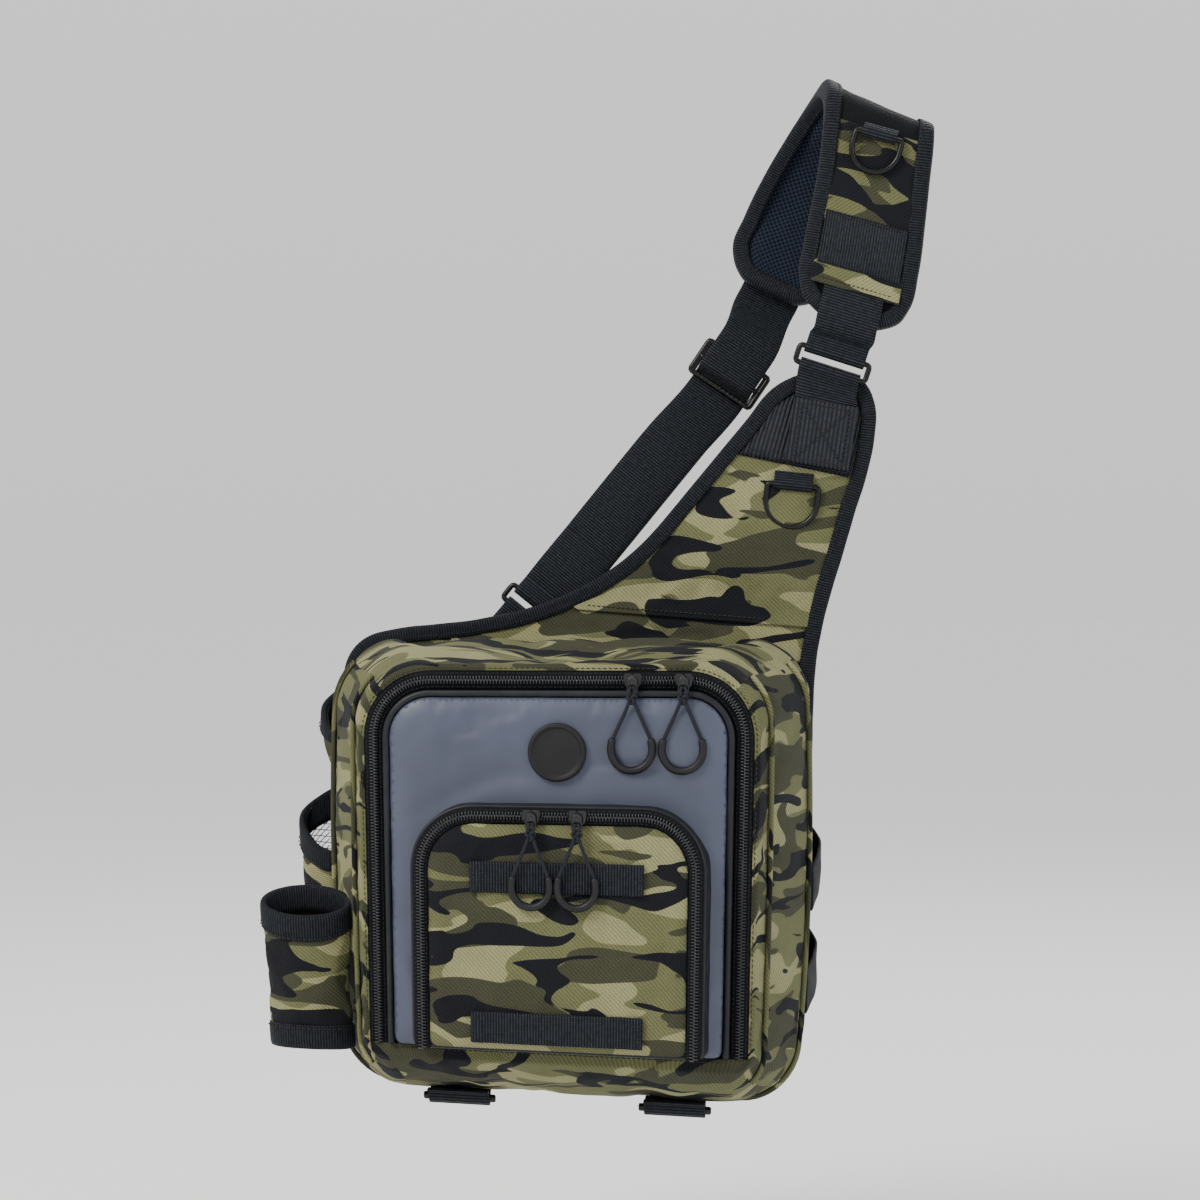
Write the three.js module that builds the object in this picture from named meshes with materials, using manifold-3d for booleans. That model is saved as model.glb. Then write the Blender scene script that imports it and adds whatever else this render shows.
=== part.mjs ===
// A one-strap fishing tackle sling bag, hanging by its shoulder pad, in millimetres.
// +X is to the right seen from the front, +Y to the wearer's side, +Z up.
// The origin is under the fold of the shoulder pad, where a shoulder or hook holds the bag up.
import * as THREE from 'three';
import { mergeVertices } from 'three/addons/utils/BufferGeometryUtils.js';
import Module from 'manifold-3d';

const wasm = await Module();
wasm.setup();

// Cloth, webbing and gaps
const seamGap = 0.3;
const clothWall = 1.8;
const bindingWall = 1.5;
const webbingWidth = 38;
const webbingThickness = 1.6;
const tapeThickness = 1.2;
const pipingRadius = 1.7;

// Bag body: the bag coordinates have z = 0 near the bottom and y = 0 inside the bag
const bagWidth = 291;
const bagHeight = 268;
const bagDepth = 116;
const bagCentreX = 1.5;
const bagLow = 8;
const bagBackY = 50;
const padThickness = 7;
const bindingWidth = 9.5;

// How the hanging bag narrows and drops to one side below this height
const hangLine = 240;
const hangTaper = 0.045;
const hangDroop = 0.04;

// Wing at the upper right of the back panel
const wingRise = 164;
const wingWidth = 76;

// Main zip and the coated front panel inside it
const mainZipHalfWidth = 109;
const mainZipTop = 244.5;
const mainZipRadius = 34;
const zipTapeWidth = 10.6;
const zipTapeThickness = 1.6;
const zipCoilWidth = 5;
const zipCoilHeight = 1.6;
const frontBottom = 30;
const panelPipingWidth = 4.2;
const panelRimRise = 3;
const panelCrown = 3.3;
const panelCrownInset = 14;

// Front pocket
const pocketCentreX = 3.5;
const pocketZipHalfWidth = 81;
const pocketZipTop = 167;
const pocketZipRadius = 32;
const pocketZipTapeWidth = 9;
const pocketDepth = 15.5;
const pocketCrown = 3.4;
const pocketCrownInset = 10;
const stripLength = 102;
const stripHeight = 18;
const upperStripZ = 132;
const lowerStripZ = 45.5;
const emblemRadius = 17;
const emblemHeight = 3.4;
const emblemZ = 203;

// Sliders and pulls: the shares place a pair of sliders on the half width of their zip
const mainSliderShares = [0.399, 0.67];
const pocketSliderShares = [-0.184, 0.147];
const sliderWidth = 11;
const sliderLength = 8;
const sliderHeight = 3;
const pullTabWidth = 4;
const pullTabLength = 9;
const cordDiameter = 2.1;
const pullTubeWall = 0.7;
const cordGap = 0.5;
const mainPullHalfWidth = 12;
const pocketPullHalfWidth = 11.2;
const pullLength = 41;
const knotRadius = 2.6;

// Left side
const upperPocket = { back: 45, front: 14, low: 184, rimBack: 240, rimFront: 208, bulge: 9 };
const meshPocket = { back: 45, front: 9.5, low: 52, rimBack: 176, rimFront: 134, bulge: 22 };
const pouchSeat = 2.4;
const netRows = 5;
const netColumns = 5;
const netStrand = 1.6;
const holderWidth = 54;
const holderDepth = 28;
const holderHeight = 86;
const holderLow = 22;
const holderCentreY = -38;
const holderSlant = 17;
const holderBandHeight = 13;

// Right side
const sideStrapWidth = 25;
const sideStrapRise = 30;
const sideStrapLowZ = [108, 48];
const sideStrapBow = 5;

// Underside
const keeperX = [-64, 70];
const keeperY = -28;
const keeperBarLength = 45;
const keeperBarRadius = 2.4;
const keeperSewn = 7;

// Rings and the slider of the strap
const ringWire = 1.75;
const wingDRing = { width: 35, drop: 29, tape: 24, tapeLength: 8 };
const padDRing = { width: 32.5, drop: 26, tape: 21.5, tapeLength: 5.5 };
const ringInnerWidth = 41;
const ringSpacing = 10.6;
const sliderBarThickness = 3.6;
const sliderBarSpacing = 11;
const sliderFrameBorder = 3.4;

// The strap's places count from the upper right corner of the bag's body: out to the right of it
// and rise above it
const bagTop = bagLow + bagHeight;
const bagRight = bagCentreX + bagWidth / 2;
const onStrap = (spot) => ({ ...spot, x: bagRight + spot.out, z: bagTop + spot.rise });

// Strap stations: centre and the tilt of the webbing's width, which falls to the right
const ringStation = onStrap({ out: 11.5, y: 44, rise: 159.5, tilt: 18 });
const tabStation = onStrap({ out: 1.8, rise: 95, tilt: 10 });
const wingDStation = onStrap({ out: -12.5, rise: 85, tilt: 6 });
const padDStation = onStrap({ out: 40, rise: 297, tilt: 16 });
const strapSliderStation = onStrap({ out: -54, y: 97, rise: 157, tilt: 34 });
const lowerRingStation = onStrap({ out: -173, y: 66, rise: 7, tilt: 39 });
const tabLength = 36;

// Shoulder pad
const padWidth = 72;
const padWall = 9;
const padCoverWidth = 57;
const padCoverThickness = 1.2;
const padBandHeight = 32;
const padCoverLow = bagTop + 202;
const padCoverHigh = bagTop + 301;
const padBandLow = bagTop + 214;

// The pad's middle line from its front end over the fold to its rear end, in bag coordinates.
// across is the share of the pad's width there, tilt as for the strap stations.
const padRows = [
  { out: 21, y: 46, rise: 185, tilt: 17, across: 0.46 },
  { out: 22.5, y: 46, rise: 191, tilt: 17, across: 0.78 },
  { out: 24.5, y: 46, rise: 201, tilt: 17, across: 0.95 },
  { out: 29, y: 46, rise: 224, tilt: 16, across: 1 },
  { out: 34, y: 46, rise: 254, tilt: 16, across: 0.97 },
  { out: 37.5, y: 46, rise: 280, tilt: 16, across: 0.95 },
  { out: 39.5, y: 46.4, rise: 301, tilt: 17, across: 0.96 },
  { out: 39.5, y: 51.5, rise: 311, tilt: 21, across: 0.98 },
  { out: 38, y: 61.5, rise: 315.5, tilt: 24, across: 1 },
  { out: 35.5, y: 74, rise: 316.5, tilt: 27, across: 1, hangs: true },
  { out: 31.5, y: 87, rise: 313, tilt: 29, across: 1 },
  { out: 25, y: 98, rise: 305, tilt: 30, across: 1 },
  { out: 14, y: 105, rise: 289, tilt: 30, across: 1 },
  { out: 0.5, y: 108, rise: 267, tilt: 28, across: 1 },
  { out: -13, y: 107, rise: 241, tilt: 26, across: 0.98 },
  { out: -22.5, y: 105, rise: 222, tilt: 26, across: 0.9 },
  { out: -26, y: 104, rise: 214, tilt: 26, across: 0.72 },
  { out: -28.2, y: 103.4, rise: 209, tilt: 26, across: 0.5 },
].map(onStrap);
const hangRow = padRows.find((row) => row.hangs);
const hangPoint = new THREE.Vector3(hangRow.x, hangRow.y, hangRow.z - padWall / 2 - 0.5);

// Sections of the bag shell from the back panel to the front edge. depth is the share of the
// depth, side of half the width, low and top of the height, and the corners are shares of the
// height. bow is how far the sides bulge, and dip how far the top sags, in shares of the height.
const shellRows = [
  { depth: 0, side: 0.915, low: 0.046, top: 0.953,
    cornerTop: 0.12, cornerLow: 0.1, bow: 0, dip: 0 },
  { depth: 0.17, side: 0.99, low: -0.01, top: 0.968,
    cornerTop: 0.14, cornerLow: 0.12, bow: 0.01, dip: 0.008 },
  { depth: 0.39, side: 0.975, low: -0.035, top: 0.955,
    cornerTop: 0.15, cornerLow: 0.13, bow: 0.012, dip: 0.014 },
  { depth: 0.65, side: 0.9, low: -0.03, top: 0.942,
    cornerTop: 0.15, cornerLow: 0.12, bow: 0.008, dip: 0.014 },
  { depth: 0.86, side: 0.835, low: 0, top: 0.93,
    cornerTop: 0.15, cornerLow: 0.09, bow: 0.003, dip: 0.006 },
  { depth: 1, side: 0.811, low: 0.05, top: 0.918,
    cornerTop: 0.15, cornerLow: 0.05, bow: 0, dip: 0 },
];
const sidePipingRow = shellRows[2];
const frontPipingRow = shellRows[4];

const arcSteps = 5;
const radians = THREE.MathUtils.degToRad;
const lerp = THREE.MathUtils.lerp;

// Meshes

function solid(positions) {
  const raw = new THREE.BufferGeometry();
  raw.setAttribute('position', new THREE.Float32BufferAttribute(positions, 3));
  const merged = mergeVertices(raw, 1e-4);
  const point = merged.attributes.position;
  const index = Array.from(merged.index.array);
  let volume = 0;
  const a = new THREE.Vector3();
  const b = new THREE.Vector3();
  const c = new THREE.Vector3();
  for (let i = 0; i < index.length; i += 3) {
    a.fromBufferAttribute(point, index[i]);
    b.fromBufferAttribute(point, index[i + 1]);
    c.fromBufferAttribute(point, index[i + 2]);
    volume += a.dot(b.cross(c));
  }
  if (volume < 0) {
    index.reverse();
  }
  merged.setIndex(index);
  return merged;
}

function pushTriangle(out, a, b, c) {
  out.push(a.x, a.y, a.z, b.x, b.y, b.z, c.x, c.y, c.z);
}

function pushQuad(out, a, b, c, d) {
  pushTriangle(out, a, b, c);
  pushTriangle(out, a, c, d);
}

function middle(points) {
  const sum = new THREE.Vector3();
  points.forEach((point) => sum.add(point));
  return sum.divideScalar(points.length);
}

// Skin over rings of points. Closed along, it is a tube that meets itself; else its ends are filled.
function skin(rings, closedAlong = false) {
  const out = [];
  const count = rings[0].length;
  const last = closedAlong ? rings.length : rings.length - 1;
  for (let i = 0; i < last; i += 1) {
    const near = rings[i];
    const far = rings[(i + 1) % rings.length];
    for (let k = 0; k < count; k += 1) {
      const next = (k + 1) % count;
      pushQuad(out, near[k], near[next], far[next], far[k]);
    }
  }
  if (!closedAlong) {
    fillEnd(out, rings[0], true);
    fillEnd(out, rings[rings.length - 1], false);
  }
  return solid(out);
}

function fillEnd(out, ring, reversed) {
  if (ring.length === 4) {
    const [a, b, c, d] = reversed ? [ring[3], ring[2], ring[1], ring[0]] : ring;
    pushQuad(out, a, b, c, d);
    return;
  }
  const centre = middle(ring);
  for (let k = 0; k < ring.length; k += 1) {
    const next = (k + 1) % ring.length;
    if (reversed) {
      pushTriangle(out, centre, ring[next], ring[k]);
    } else {
      pushTriangle(out, centre, ring[k], ring[next]);
    }
  }
}

function toManifold(geometry) {
  const bare = new THREE.BufferGeometry();
  bare.setAttribute('position', geometry.attributes.position.clone());
  if (geometry.index) {
    bare.setIndex(geometry.index.clone());
  }
  const merged = mergeVertices(bare, 1e-4);
  const vertProperties = new Float32Array(merged.attributes.position.array);
  const triVerts = new Uint32Array(merged.index.array);
  return new wasm.Manifold(new wasm.Mesh({ numProp: 3, vertProperties, triVerts }));
}

function fromManifold(manifold) {
  const mesh = manifold.getMesh();
  const geometry = new THREE.BufferGeometry();
  geometry.setAttribute('position', new THREE.BufferAttribute(mesh.vertProperties, 3));
  geometry.setIndex(new THREE.BufferAttribute(mesh.triVerts, 1));
  return geometry;
}

function joined(geometries) {
  const manifolds = geometries.map(toManifold);
  return fromManifold(manifolds.reduce((sum, next) => sum.add(next)));
}

// Outlines in the front view: lists of Vector2 with x to the right and y up

function arc(centreX, centreZ, radius, from, to, steps) {
  const points = [];
  for (let i = 0; i <= steps; i += 1) {
    const angle = radians(lerp(from, to, i / steps));
    points.push(new THREE.Vector2(centreX + radius * Math.cos(angle), centreZ + radius * Math.sin(angle)));
  }
  return points;
}

// Moves an outline outward by a distance, with mitred corners
function grown(outline, distance, closed = true) {
  const count = outline.length;
  return outline.map((point, k) => {
    const before = outline[(k - 1 + count) % count];
    const after = outline[(k + 1) % count];
    const first = new THREE.Vector2().subVectors(point, before).normalize();
    const second = new THREE.Vector2().subVectors(after, point).normalize();
    if (!closed && k === 0) {
      first.copy(second);
    }
    if (!closed && k === count - 1) {
      second.copy(first);
    }
    const normal = new THREE.Vector2(-first.y - second.y, first.x + second.x);
    normal.divideScalar(1 + first.dot(second));
    return point.clone().addScaledVector(normal, distance);
  });
}

// A section, a list of { out, y }, at each point of an outline
function sweptRings(outline, section, closed) {
  const sides = section.map(({ out }) => grown(outline, out, closed));
  return outline.map((point, k) => section.map(({ y }, j) => {
    const spot = sides[j][k];
    return new THREE.Vector3(spot.x, y, spot.y);
  }));
}

// Sweeps a section round an outline
function swept(outline, section, closed = true) {
  return skin(sweptRings(outline, section, closed), closed);
}

function roundSection(radius, sides, out = 0, y = 0) {
  const section = [];
  for (let i = 0; i < sides; i += 1) {
    const angle = (2 * Math.PI * (i + 0.5)) / sides;
    section.push({ out: out + radius * Math.cos(angle), y: y + radius * Math.sin(angle) });
  }
  return section;
}

function ringAt(outline, y) {
  return outline.map((point) => new THREE.Vector3(point.x, y, point.y));
}

// Clockwise seen from the front, so that grown() moves it outward
function archLoop({ centreX, half, top, radius, low, cornerLow = 3 }, cornerSteps = arcSteps) {
  const left = centreX - half;
  const right = centreX + half;
  return [
    ...arc(left + cornerLow, low + cornerLow, cornerLow, 270, 180, 2),
    ...arc(left + radius, top - radius, radius, 180, 90, cornerSteps),
    ...arc(right - radius, top - radius, radius, 90, 0, cornerSteps),
    ...arc(right - cornerLow, low + cornerLow, cornerLow, 0, -90, 2),
  ];
}

function archLine({ centreX, half, top, radius, low }, cornerSteps = arcSteps) {
  const left = centreX - half;
  const right = centreX + half;
  return [
    new THREE.Vector2(left, low),
    ...arc(left + radius, top - radius, radius, 180, 90, cornerSteps),
    ...arc(right - radius, top - radius, radius, 90, 0, cornerSteps),
    new THREE.Vector2(right, low),
  ];
}

function plate(outline, frontY, backY) {
  const shape = new THREE.Shape(outline);
  const depth = backY - frontY;
  const geometry = new THREE.ExtrudeGeometry(shape, { depth, bevelEnabled: false });
  geometry.rotateX(Math.PI / 2);
  geometry.translate(0, backY, 0);
  return bare(geometry);
}

// Any geometry as one closed body
function bare(geometry) {
  const source = geometry.index ? geometry.toNonIndexed() : geometry;
  return solid(Array.from(source.attributes.position.array));
}

function box(width, depth, height, x, y, z) {
  const geometry = new THREE.BoxGeometry(width, depth, height);
  geometry.translate(x, y, z);
  return bare(geometry);
}

// The cloth below the hanging line narrows and drops to the right
function hang(geometry) {
  const point = geometry.attributes.position;
  for (let i = 0; i < point.count; i += 1) {
    const x = point.getX(i);
    const z = point.getZ(i);
    const below = THREE.MathUtils.clamp(1 - z / hangLine, 0, 1.1);
    point.setX(i, x * (1 - hangTaper * below));
    point.setZ(i, z - hangDroop * x * below);
  }
  point.needsUpdate = true;
  return geometry;
}

// Bag shell

function shellOutline(row) {
  const half = (row.side * bagWidth) / 2;
  const low = bagLow + row.low * bagHeight;
  const top = bagLow + row.top * bagHeight;
  const cornerTop = row.cornerTop * bagHeight;
  const cornerLow = row.cornerLow * bagHeight;
  const left = bagCentreX - half;
  const right = bagCentreX + half;
  const bow = row.bow * bagHeight;
  const dip = row.dip * bagHeight;
  const shares = [0.25, 0.5, 0.75];
  const swell = (share) => 1 - (2 * share - 1) ** 2;
  const points = arc(left + cornerLow, low + cornerLow, cornerLow, 270, 180, arcSteps);
  shares.forEach((share) => {
    points.push(new THREE.Vector2(left - bow * swell(share), lerp(low + cornerLow, top - cornerTop, share)));
  });
  points.push(...arc(left + cornerTop, top - cornerTop, cornerTop, 180, 90, arcSteps));
  shares.forEach((share) => {
    const x = lerp(left + cornerTop, right - cornerTop, share);
    points.push(new THREE.Vector2(x, top - dip * swell(share)));
  });
  points.push(...arc(right - cornerTop, top - cornerTop, cornerTop, 90, 0, arcSteps));
  shares.forEach((share) => {
    const z = lerp(top - cornerTop, low + cornerLow, share);
    points.push(new THREE.Vector2(right + bow * swell(share), z));
  });
  points.push(...arc(right - cornerLow, low + cornerLow, cornerLow, 0, -90, arcSteps));
  shares.forEach((share) => {
    points.push(new THREE.Vector2(lerp(right - cornerLow, left + cornerLow, share), low));
  });
  return points;
}

const shellY = (row) => bagBackY - row.depth * bagDepth;
const frontY = bagBackY - bagDepth;

// The row between two rows of the table at a given y
function shellRowAt(y) {
  const depth = (bagBackY - y) / bagDepth;
  let next = 1;
  while (next < shellRows.length - 1 && shellRows[next].depth < depth) {
    next += 1;
  }
  const before = shellRows[next - 1];
  const after = shellRows[next];
  const share = (depth - before.depth) / (after.depth - before.depth);
  const row = {};
  Object.keys(before).forEach((key) => {
    row[key] = lerp(before[key], after[key], share);
  });
  return row;
}

// How far the side of the shell stands from its middle plane at a place on it
function sideReach(y, z) {
  const row = shellRowAt(y);
  const half = (row.side * bagWidth) / 2;
  const low = bagLow + (row.low + row.cornerLow) * bagHeight;
  const top = bagLow + (row.top - row.cornerTop) * bagHeight;
  if (z > top) {
    const radius = row.cornerTop * bagHeight;
    return half - radius + Math.sqrt(Math.max(radius ** 2 - (z - top) ** 2, 0));
  }
  if (z < low) {
    const radius = row.cornerLow * bagHeight;
    return half - radius + Math.sqrt(Math.max(radius ** 2 - (low - z) ** 2, 0));
  }
  const share = (z - low) / (top - low);
  return half + row.bow * bagHeight * (1 - (2 * share - 1) ** 2);
}

const zipOpening = {
  centreX: bagCentreX,
  half: mainZipHalfWidth + zipTapeWidth / 2 + seamGap,
  top: mainZipTop + zipTapeWidth / 2 + seamGap,
  radius: mainZipRadius + zipTapeWidth / 2 + seamGap,
  low: frontBottom - seamGap,
};

// The opening for the zip, with one point for each point of the shell's sections
function shellOpening() {
  const { centreX, half, top, radius, low } = zipOpening;
  const left = centreX - half;
  const right = centreX + half;
  const cornerLow = 0.6;
  const shares = [0.25, 0.5, 0.75];
  const side = (x, from, to) => shares.map((share) => new THREE.Vector2(x, lerp(from, to, share)));
  const level = (z, from, to) => shares.map((share) => new THREE.Vector2(lerp(from, to, share), z));
  return [
    ...arc(left + cornerLow, low + cornerLow, cornerLow, 270, 180, arcSteps),
    ...side(left, low + cornerLow, top - radius),
    ...arc(left + radius, top - radius, radius, 180, 90, arcSteps),
    ...level(top, left + radius, right - radius),
    ...arc(right - radius, top - radius, radius, 90, 0, arcSteps),
    ...side(right, top - radius, low + cornerLow),
    ...arc(right - cornerLow, low + cornerLow, cornerLow, 0, -90, arcSteps),
    ...level(low, right - cornerLow, left + cornerLow),
  ];
}

function bagShell() {
  const outer = shellRows.map((row) => ringAt(shellOutline(row), shellY(row)));
  const inner = shellRows.map((row, i) => {
    const isFront = i === shellRows.length - 1;
    const y = isFront ? frontY + clothWall : shellY(row);
    return ringAt(grown(shellOutline(row), -clothWall), y);
  });
  const opening = shellOpening();
  const lip = [ringAt(opening, frontY), ringAt(opening, frontY + clothWall)];
  return skin([...outer, ...lip, ...inner.reverse()], true);
}

// Places in a section's list of points, which has a corner and then three points of a side in turn
const sidePoints = arcSteps + 4;
const leftCornerMiddle = sidePoints + 2;
const rightCornerMiddle = 2 * sidePoints + 3;

function sidePiping() {
  const outline = shellOutline(sidePipingRow);
  const line = [...outline.slice(rightCornerMiddle), ...outline.slice(0, leftCornerMiddle + 1)];
  const section = roundSection(pipingRadius, 6, pipingRadius + seamGap, shellY(sidePipingRow));
  return swept(line, section, false);
}

function frontPiping(side) {
  const outline = shellOutline(frontPipingRow);
  const left = outline.slice(arcSteps - 1, leftCornerMiddle + 1);
  const right = outline.slice(rightCornerMiddle, 3 * sidePoints + 2);
  const line = side < 0 ? left : right;
  const section = roundSection(pipingRadius, 6, pipingRadius + seamGap, shellY(frontPipingRow));
  return swept(line, section, false);
}

// Back panel and wing

function backOutline() {
  const left = bagCentreX - bagWidth / 2;
  const right = bagRight;
  const top = bagTop;
  const half = wingWidth / 2;
  const corner = 28;
  const wingTop = top + wingRise;
  const path = new THREE.Path();
  path.moveTo(left + corner, bagLow);
  path.absarc(left + corner, bagLow + corner, corner, radians(270), radians(180), true);
  path.lineTo(left, top - corner - 4);
  path.absarc(left + corner, top - corner - 4, corner, radians(180), radians(100), true);
  path.lineTo(left + 0.15 * bagWidth, top - 1);
  path.bezierCurveTo(
    right - 4.5 * half, top + 3,
    right - 3.3 * half, top + 0.15 * wingRise,
    right - 2.47 * half, top + 0.38 * wingRise,
  );
  path.lineTo(right - half, top + 0.79 * wingRise);
  path.bezierCurveTo(
    right - 0.66 * half, wingTop - 0.09 * wingRise,
    right - 0.18 * half, wingTop,
    right + 0.34 * half, wingTop,
  );
  path.bezierCurveTo(
    right + 0.82 * half, wingTop,
    right + 1.06 * half, wingTop - 0.12 * wingRise,
    right + half, wingTop - 0.265 * wingRise,
  );
  path.bezierCurveTo(
    right + 0.95 * half, top + 0.62 * wingRise,
    right + 0.82 * half, top + 0.52 * wingRise,
    right + 0.66 * half, top + 0.42 * wingRise,
  );
  path.bezierCurveTo(
    right + 0.34 * half, top + 0.14 * wingRise,
    right, top - 0.02 * wingRise,
    right, top - 0.3 * wingRise,
  );
  path.lineTo(right, bagLow + corner);
  path.absarc(right - corner, bagLow + corner, corner, 0, radians(-90), true);
  const points = path.getPoints(6);
  return points.filter((point, k) => k === 0 || point.distanceTo(points[k - 1]) > 0.5);
}

const backEdge = backOutline();
const panelFrontY = bagBackY + seamGap;
const panelBackY = panelFrontY + padThickness;

function backPanel() {
  return plate(grown(backEdge, -bindingWall - seamGap), panelFrontY, panelBackY);
}

// Tape folded round the edge of the back panel
function backBinding() {
  const lap = -bindingWidth;
  const inside = -bindingWall;
  return swept(backEdge, [
    { out: 0, y: panelFrontY - seamGap - bindingWall },
    { out: 0, y: panelBackY + seamGap + bindingWall },
    { out: lap, y: panelBackY + seamGap + bindingWall },
    { out: lap, y: panelBackY + seamGap },
    { out: inside, y: panelBackY + seamGap },
    { out: inside, y: panelFrontY - seamGap },
    { out: lap, y: panelFrontY - seamGap },
    { out: lap, y: panelFrontY - seamGap - bindingWall },
  ]);
}

// Front face

// A zip: two tapes with a raised coil between them, as one arch
function zipArch(arch, tape, backY) {
  const front = backY - zipTapeThickness;
  const coilFront = front - zipCoilHeight;
  return swept(archLine(arch), [
    { out: tape / 2, y: backY },
    { out: tape / 2, y: front },
    { out: zipCoilWidth / 2, y: front },
    { out: zipCoilWidth / 4, y: coilFront },
    { out: -zipCoilWidth / 4, y: coilFront },
    { out: -zipCoilWidth / 2, y: front },
    { out: -tape / 2, y: front },
    { out: -tape / 2, y: backY },
  ], false);
}

const mainArch = {
  centreX: bagCentreX,
  half: mainZipHalfWidth,
  top: mainZipTop,
  radius: mainZipRadius,
  low: frontBottom,
};

function narrowed(arch, inset) {
  return { ...arch, half: arch.half - inset, top: arch.top - inset, radius: arch.radius - inset };
}

const panelPipingInset = zipTapeWidth / 2 + seamGap + panelPipingWidth / 2;
const panelInset = panelPipingInset + panelPipingWidth / 2 + seamGap;
const panelFaceY = frontY - panelRimRise - panelCrown;

function panelPiping() {
  const section = roundSection(panelPipingWidth / 2, 8, 0, frontY - panelRimRise + 1);
  return swept(archLine(narrowed(mainArch, panelPipingInset)), section, false);
}

// A padded face: a rim, a rounded shoulder and a flat crown, hollow behind when it is a thin skin
function crownedPlate(arch, { rimY, crown, inset, backY, wall }) {
  const corner = inset + 2;
  const loopAt = (share) => {
    const distance = share * inset;
    const low = arch.low + distance;
    return archLoop({ ...narrowed(arch, distance), low, cornerLow: corner - distance });
  };
  const loop = loopAt(0);
  const shoulder = loopAt(0.35);
  const crownLine = loopAt(1);
  const rings = [
    ringAt(loop, backY),
    ringAt(loop, rimY),
    ringAt(shoulder, rimY - crown * 0.7),
    ringAt(crownLine, rimY - crown),
  ];
  if (wall) {
    rings.unshift(ringAt(shoulder, backY - crown * 0.7 + wall * 0.2));
    rings.unshift(ringAt(crownLine, backY - crown + wall * 0.2));
  }
  return skin(rings);
}

function frontPanel() {
  const arch = narrowed(mainArch, panelInset);
  return crownedPlate(arch, {
    rimY: frontY - panelRimRise,
    crown: panelCrown,
    inset: panelCrownInset,
    backY: frontY + clothWall,
  });
}

const pocketArch = {
  centreX: pocketCentreX,
  half: pocketZipHalfWidth,
  top: pocketZipTop,
  radius: pocketZipRadius,
  low: frontBottom + 1.2,
};
const pocketBaseY = panelFaceY - seamGap;
const pocketFrontY = pocketBaseY - pocketDepth;
const pocketTapeBackY = pocketFrontY - seamGap;
const pocketRimY = pocketTapeBackY - zipTapeThickness - 0.4;
const pocketFaceY = pocketRimY - pocketCrown;

function pocketWall() {
  const outside = narrowed(pocketArch, -pocketZipTapeWidth / 2);
  const section = [
    { out: 1.5, y: pocketBaseY },
    { out: 0, y: pocketFrontY },
    { out: -clothWall, y: pocketFrontY },
    { out: 1.5 - clothWall, y: pocketBaseY },
  ];
  return swept(archLoop({ ...outside, low: pocketArch.low + 1.5 }), section);
}

function pocketFace() {
  const arch = narrowed(pocketArch, pocketZipTapeWidth / 2 + seamGap);
  return crownedPlate({ ...arch, low: pocketArch.low + 1.5 }, {
    rimY: pocketRimY,
    crown: pocketCrown,
    inset: pocketCrownInset,
    backY: pocketTapeBackY,
    wall: clothWall,
  });
}

// A strip of webbing with its ends folded under, sewn on the pocket
function pocketStrip(centreZ) {
  const back = pocketFaceY - seamGap;
  const front = back - webbingThickness;
  const foldFront = front - 0.6;
  const half = stripLength / 2;
  const fold = 7;
  const profile = [
    [-half, back], [half, back], [half, foldFront], [half - fold, foldFront],
    [half - fold - 2, front], [-half + fold + 2, front], [-half + fold, foldFront], [-half, foldFront],
  ];
  const outline = profile.map(([x, y]) => new THREE.Vector2(x + pocketCentreX, y));
  const shape = new THREE.Shape(outline);
  const geometry = new THREE.ExtrudeGeometry(shape, { depth: stripHeight, bevelEnabled: false });
  geometry.translate(0, 0, centreZ - stripHeight / 2);
  return bare(geometry);
}

// A moulded disc with a raised rim and a bare face
function emblemDisc() {
  const rim = 2.2;
  const recess = 0.9;
  const profile = [
    [0, 0], [emblemRadius, 0], [emblemRadius, emblemHeight - 0.8], [emblemRadius - 0.8, emblemHeight],
    [emblemRadius - rim, emblemHeight], [emblemRadius - rim - 0.6, emblemHeight - recess],
    [0, emblemHeight - recess],
  ].map(([radius, height]) => new THREE.Vector2(radius, height));
  const geometry = new THREE.LatheGeometry(profile, 28);
  geometry.rotateX(Math.PI);
  geometry.translate(bagCentreX, panelFaceY - seamGap, emblemZ);
  return bare(geometry);
}

// Sliders and pulls

// Slider with its bridge and hanging tab, in front of a zip whose coil stands out to coilY
function zipSlider(x, z, coilY) {
  const bodyY = coilY - seamGap - sliderHeight / 2;
  const bridgeY = bodyY - sliderHeight / 2 - 0.8;
  const tabTop = z + 1.5;
  return joined([
    box(sliderWidth, sliderHeight, sliderLength, x, bodyY, z),
    box(sliderWidth * 0.6, 2.4, sliderLength * 0.45, x, bridgeY, z),
    box(pullTabWidth, 1.6, pullTabLength, x, bridgeY - 1.2, tabTop - pullTabLength / 2),
  ]);
}

// The loop of a pull, from its knot round the bottom and back, in the plane y
function pullPoints(x, top, half, y) {
  const bend = top - pullLength + half;
  const arm = [
    [0.1, -1], [0.3, -7], [0.68, -17], [0.95, -25],
  ];
  const left = arm.map(([share, drop]) => new THREE.Vector3(x - share * half, y, top + drop));
  const right = arm.map(([share, drop]) => new THREE.Vector3(x + share * half, y, top + drop)).reverse();
  const bottom = arc(x, bend, half, 180, 360, 6).map((point) => new THREE.Vector3(point.x, y, point.y));
  return [...left, ...bottom, ...right];
}

function circleShape(radius, sides) {
  const shape = new THREE.Shape();
  for (let i = 0; i < sides; i += 1) {
    const angle = (2 * Math.PI * i) / sides;
    const x = radius * Math.cos(angle);
    const y = radius * Math.sin(angle);
    if (i === 0) {
      shape.moveTo(x, y);
    } else {
      shape.lineTo(x, y);
    }
  }
  shape.closePath();
  return shape;
}

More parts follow.
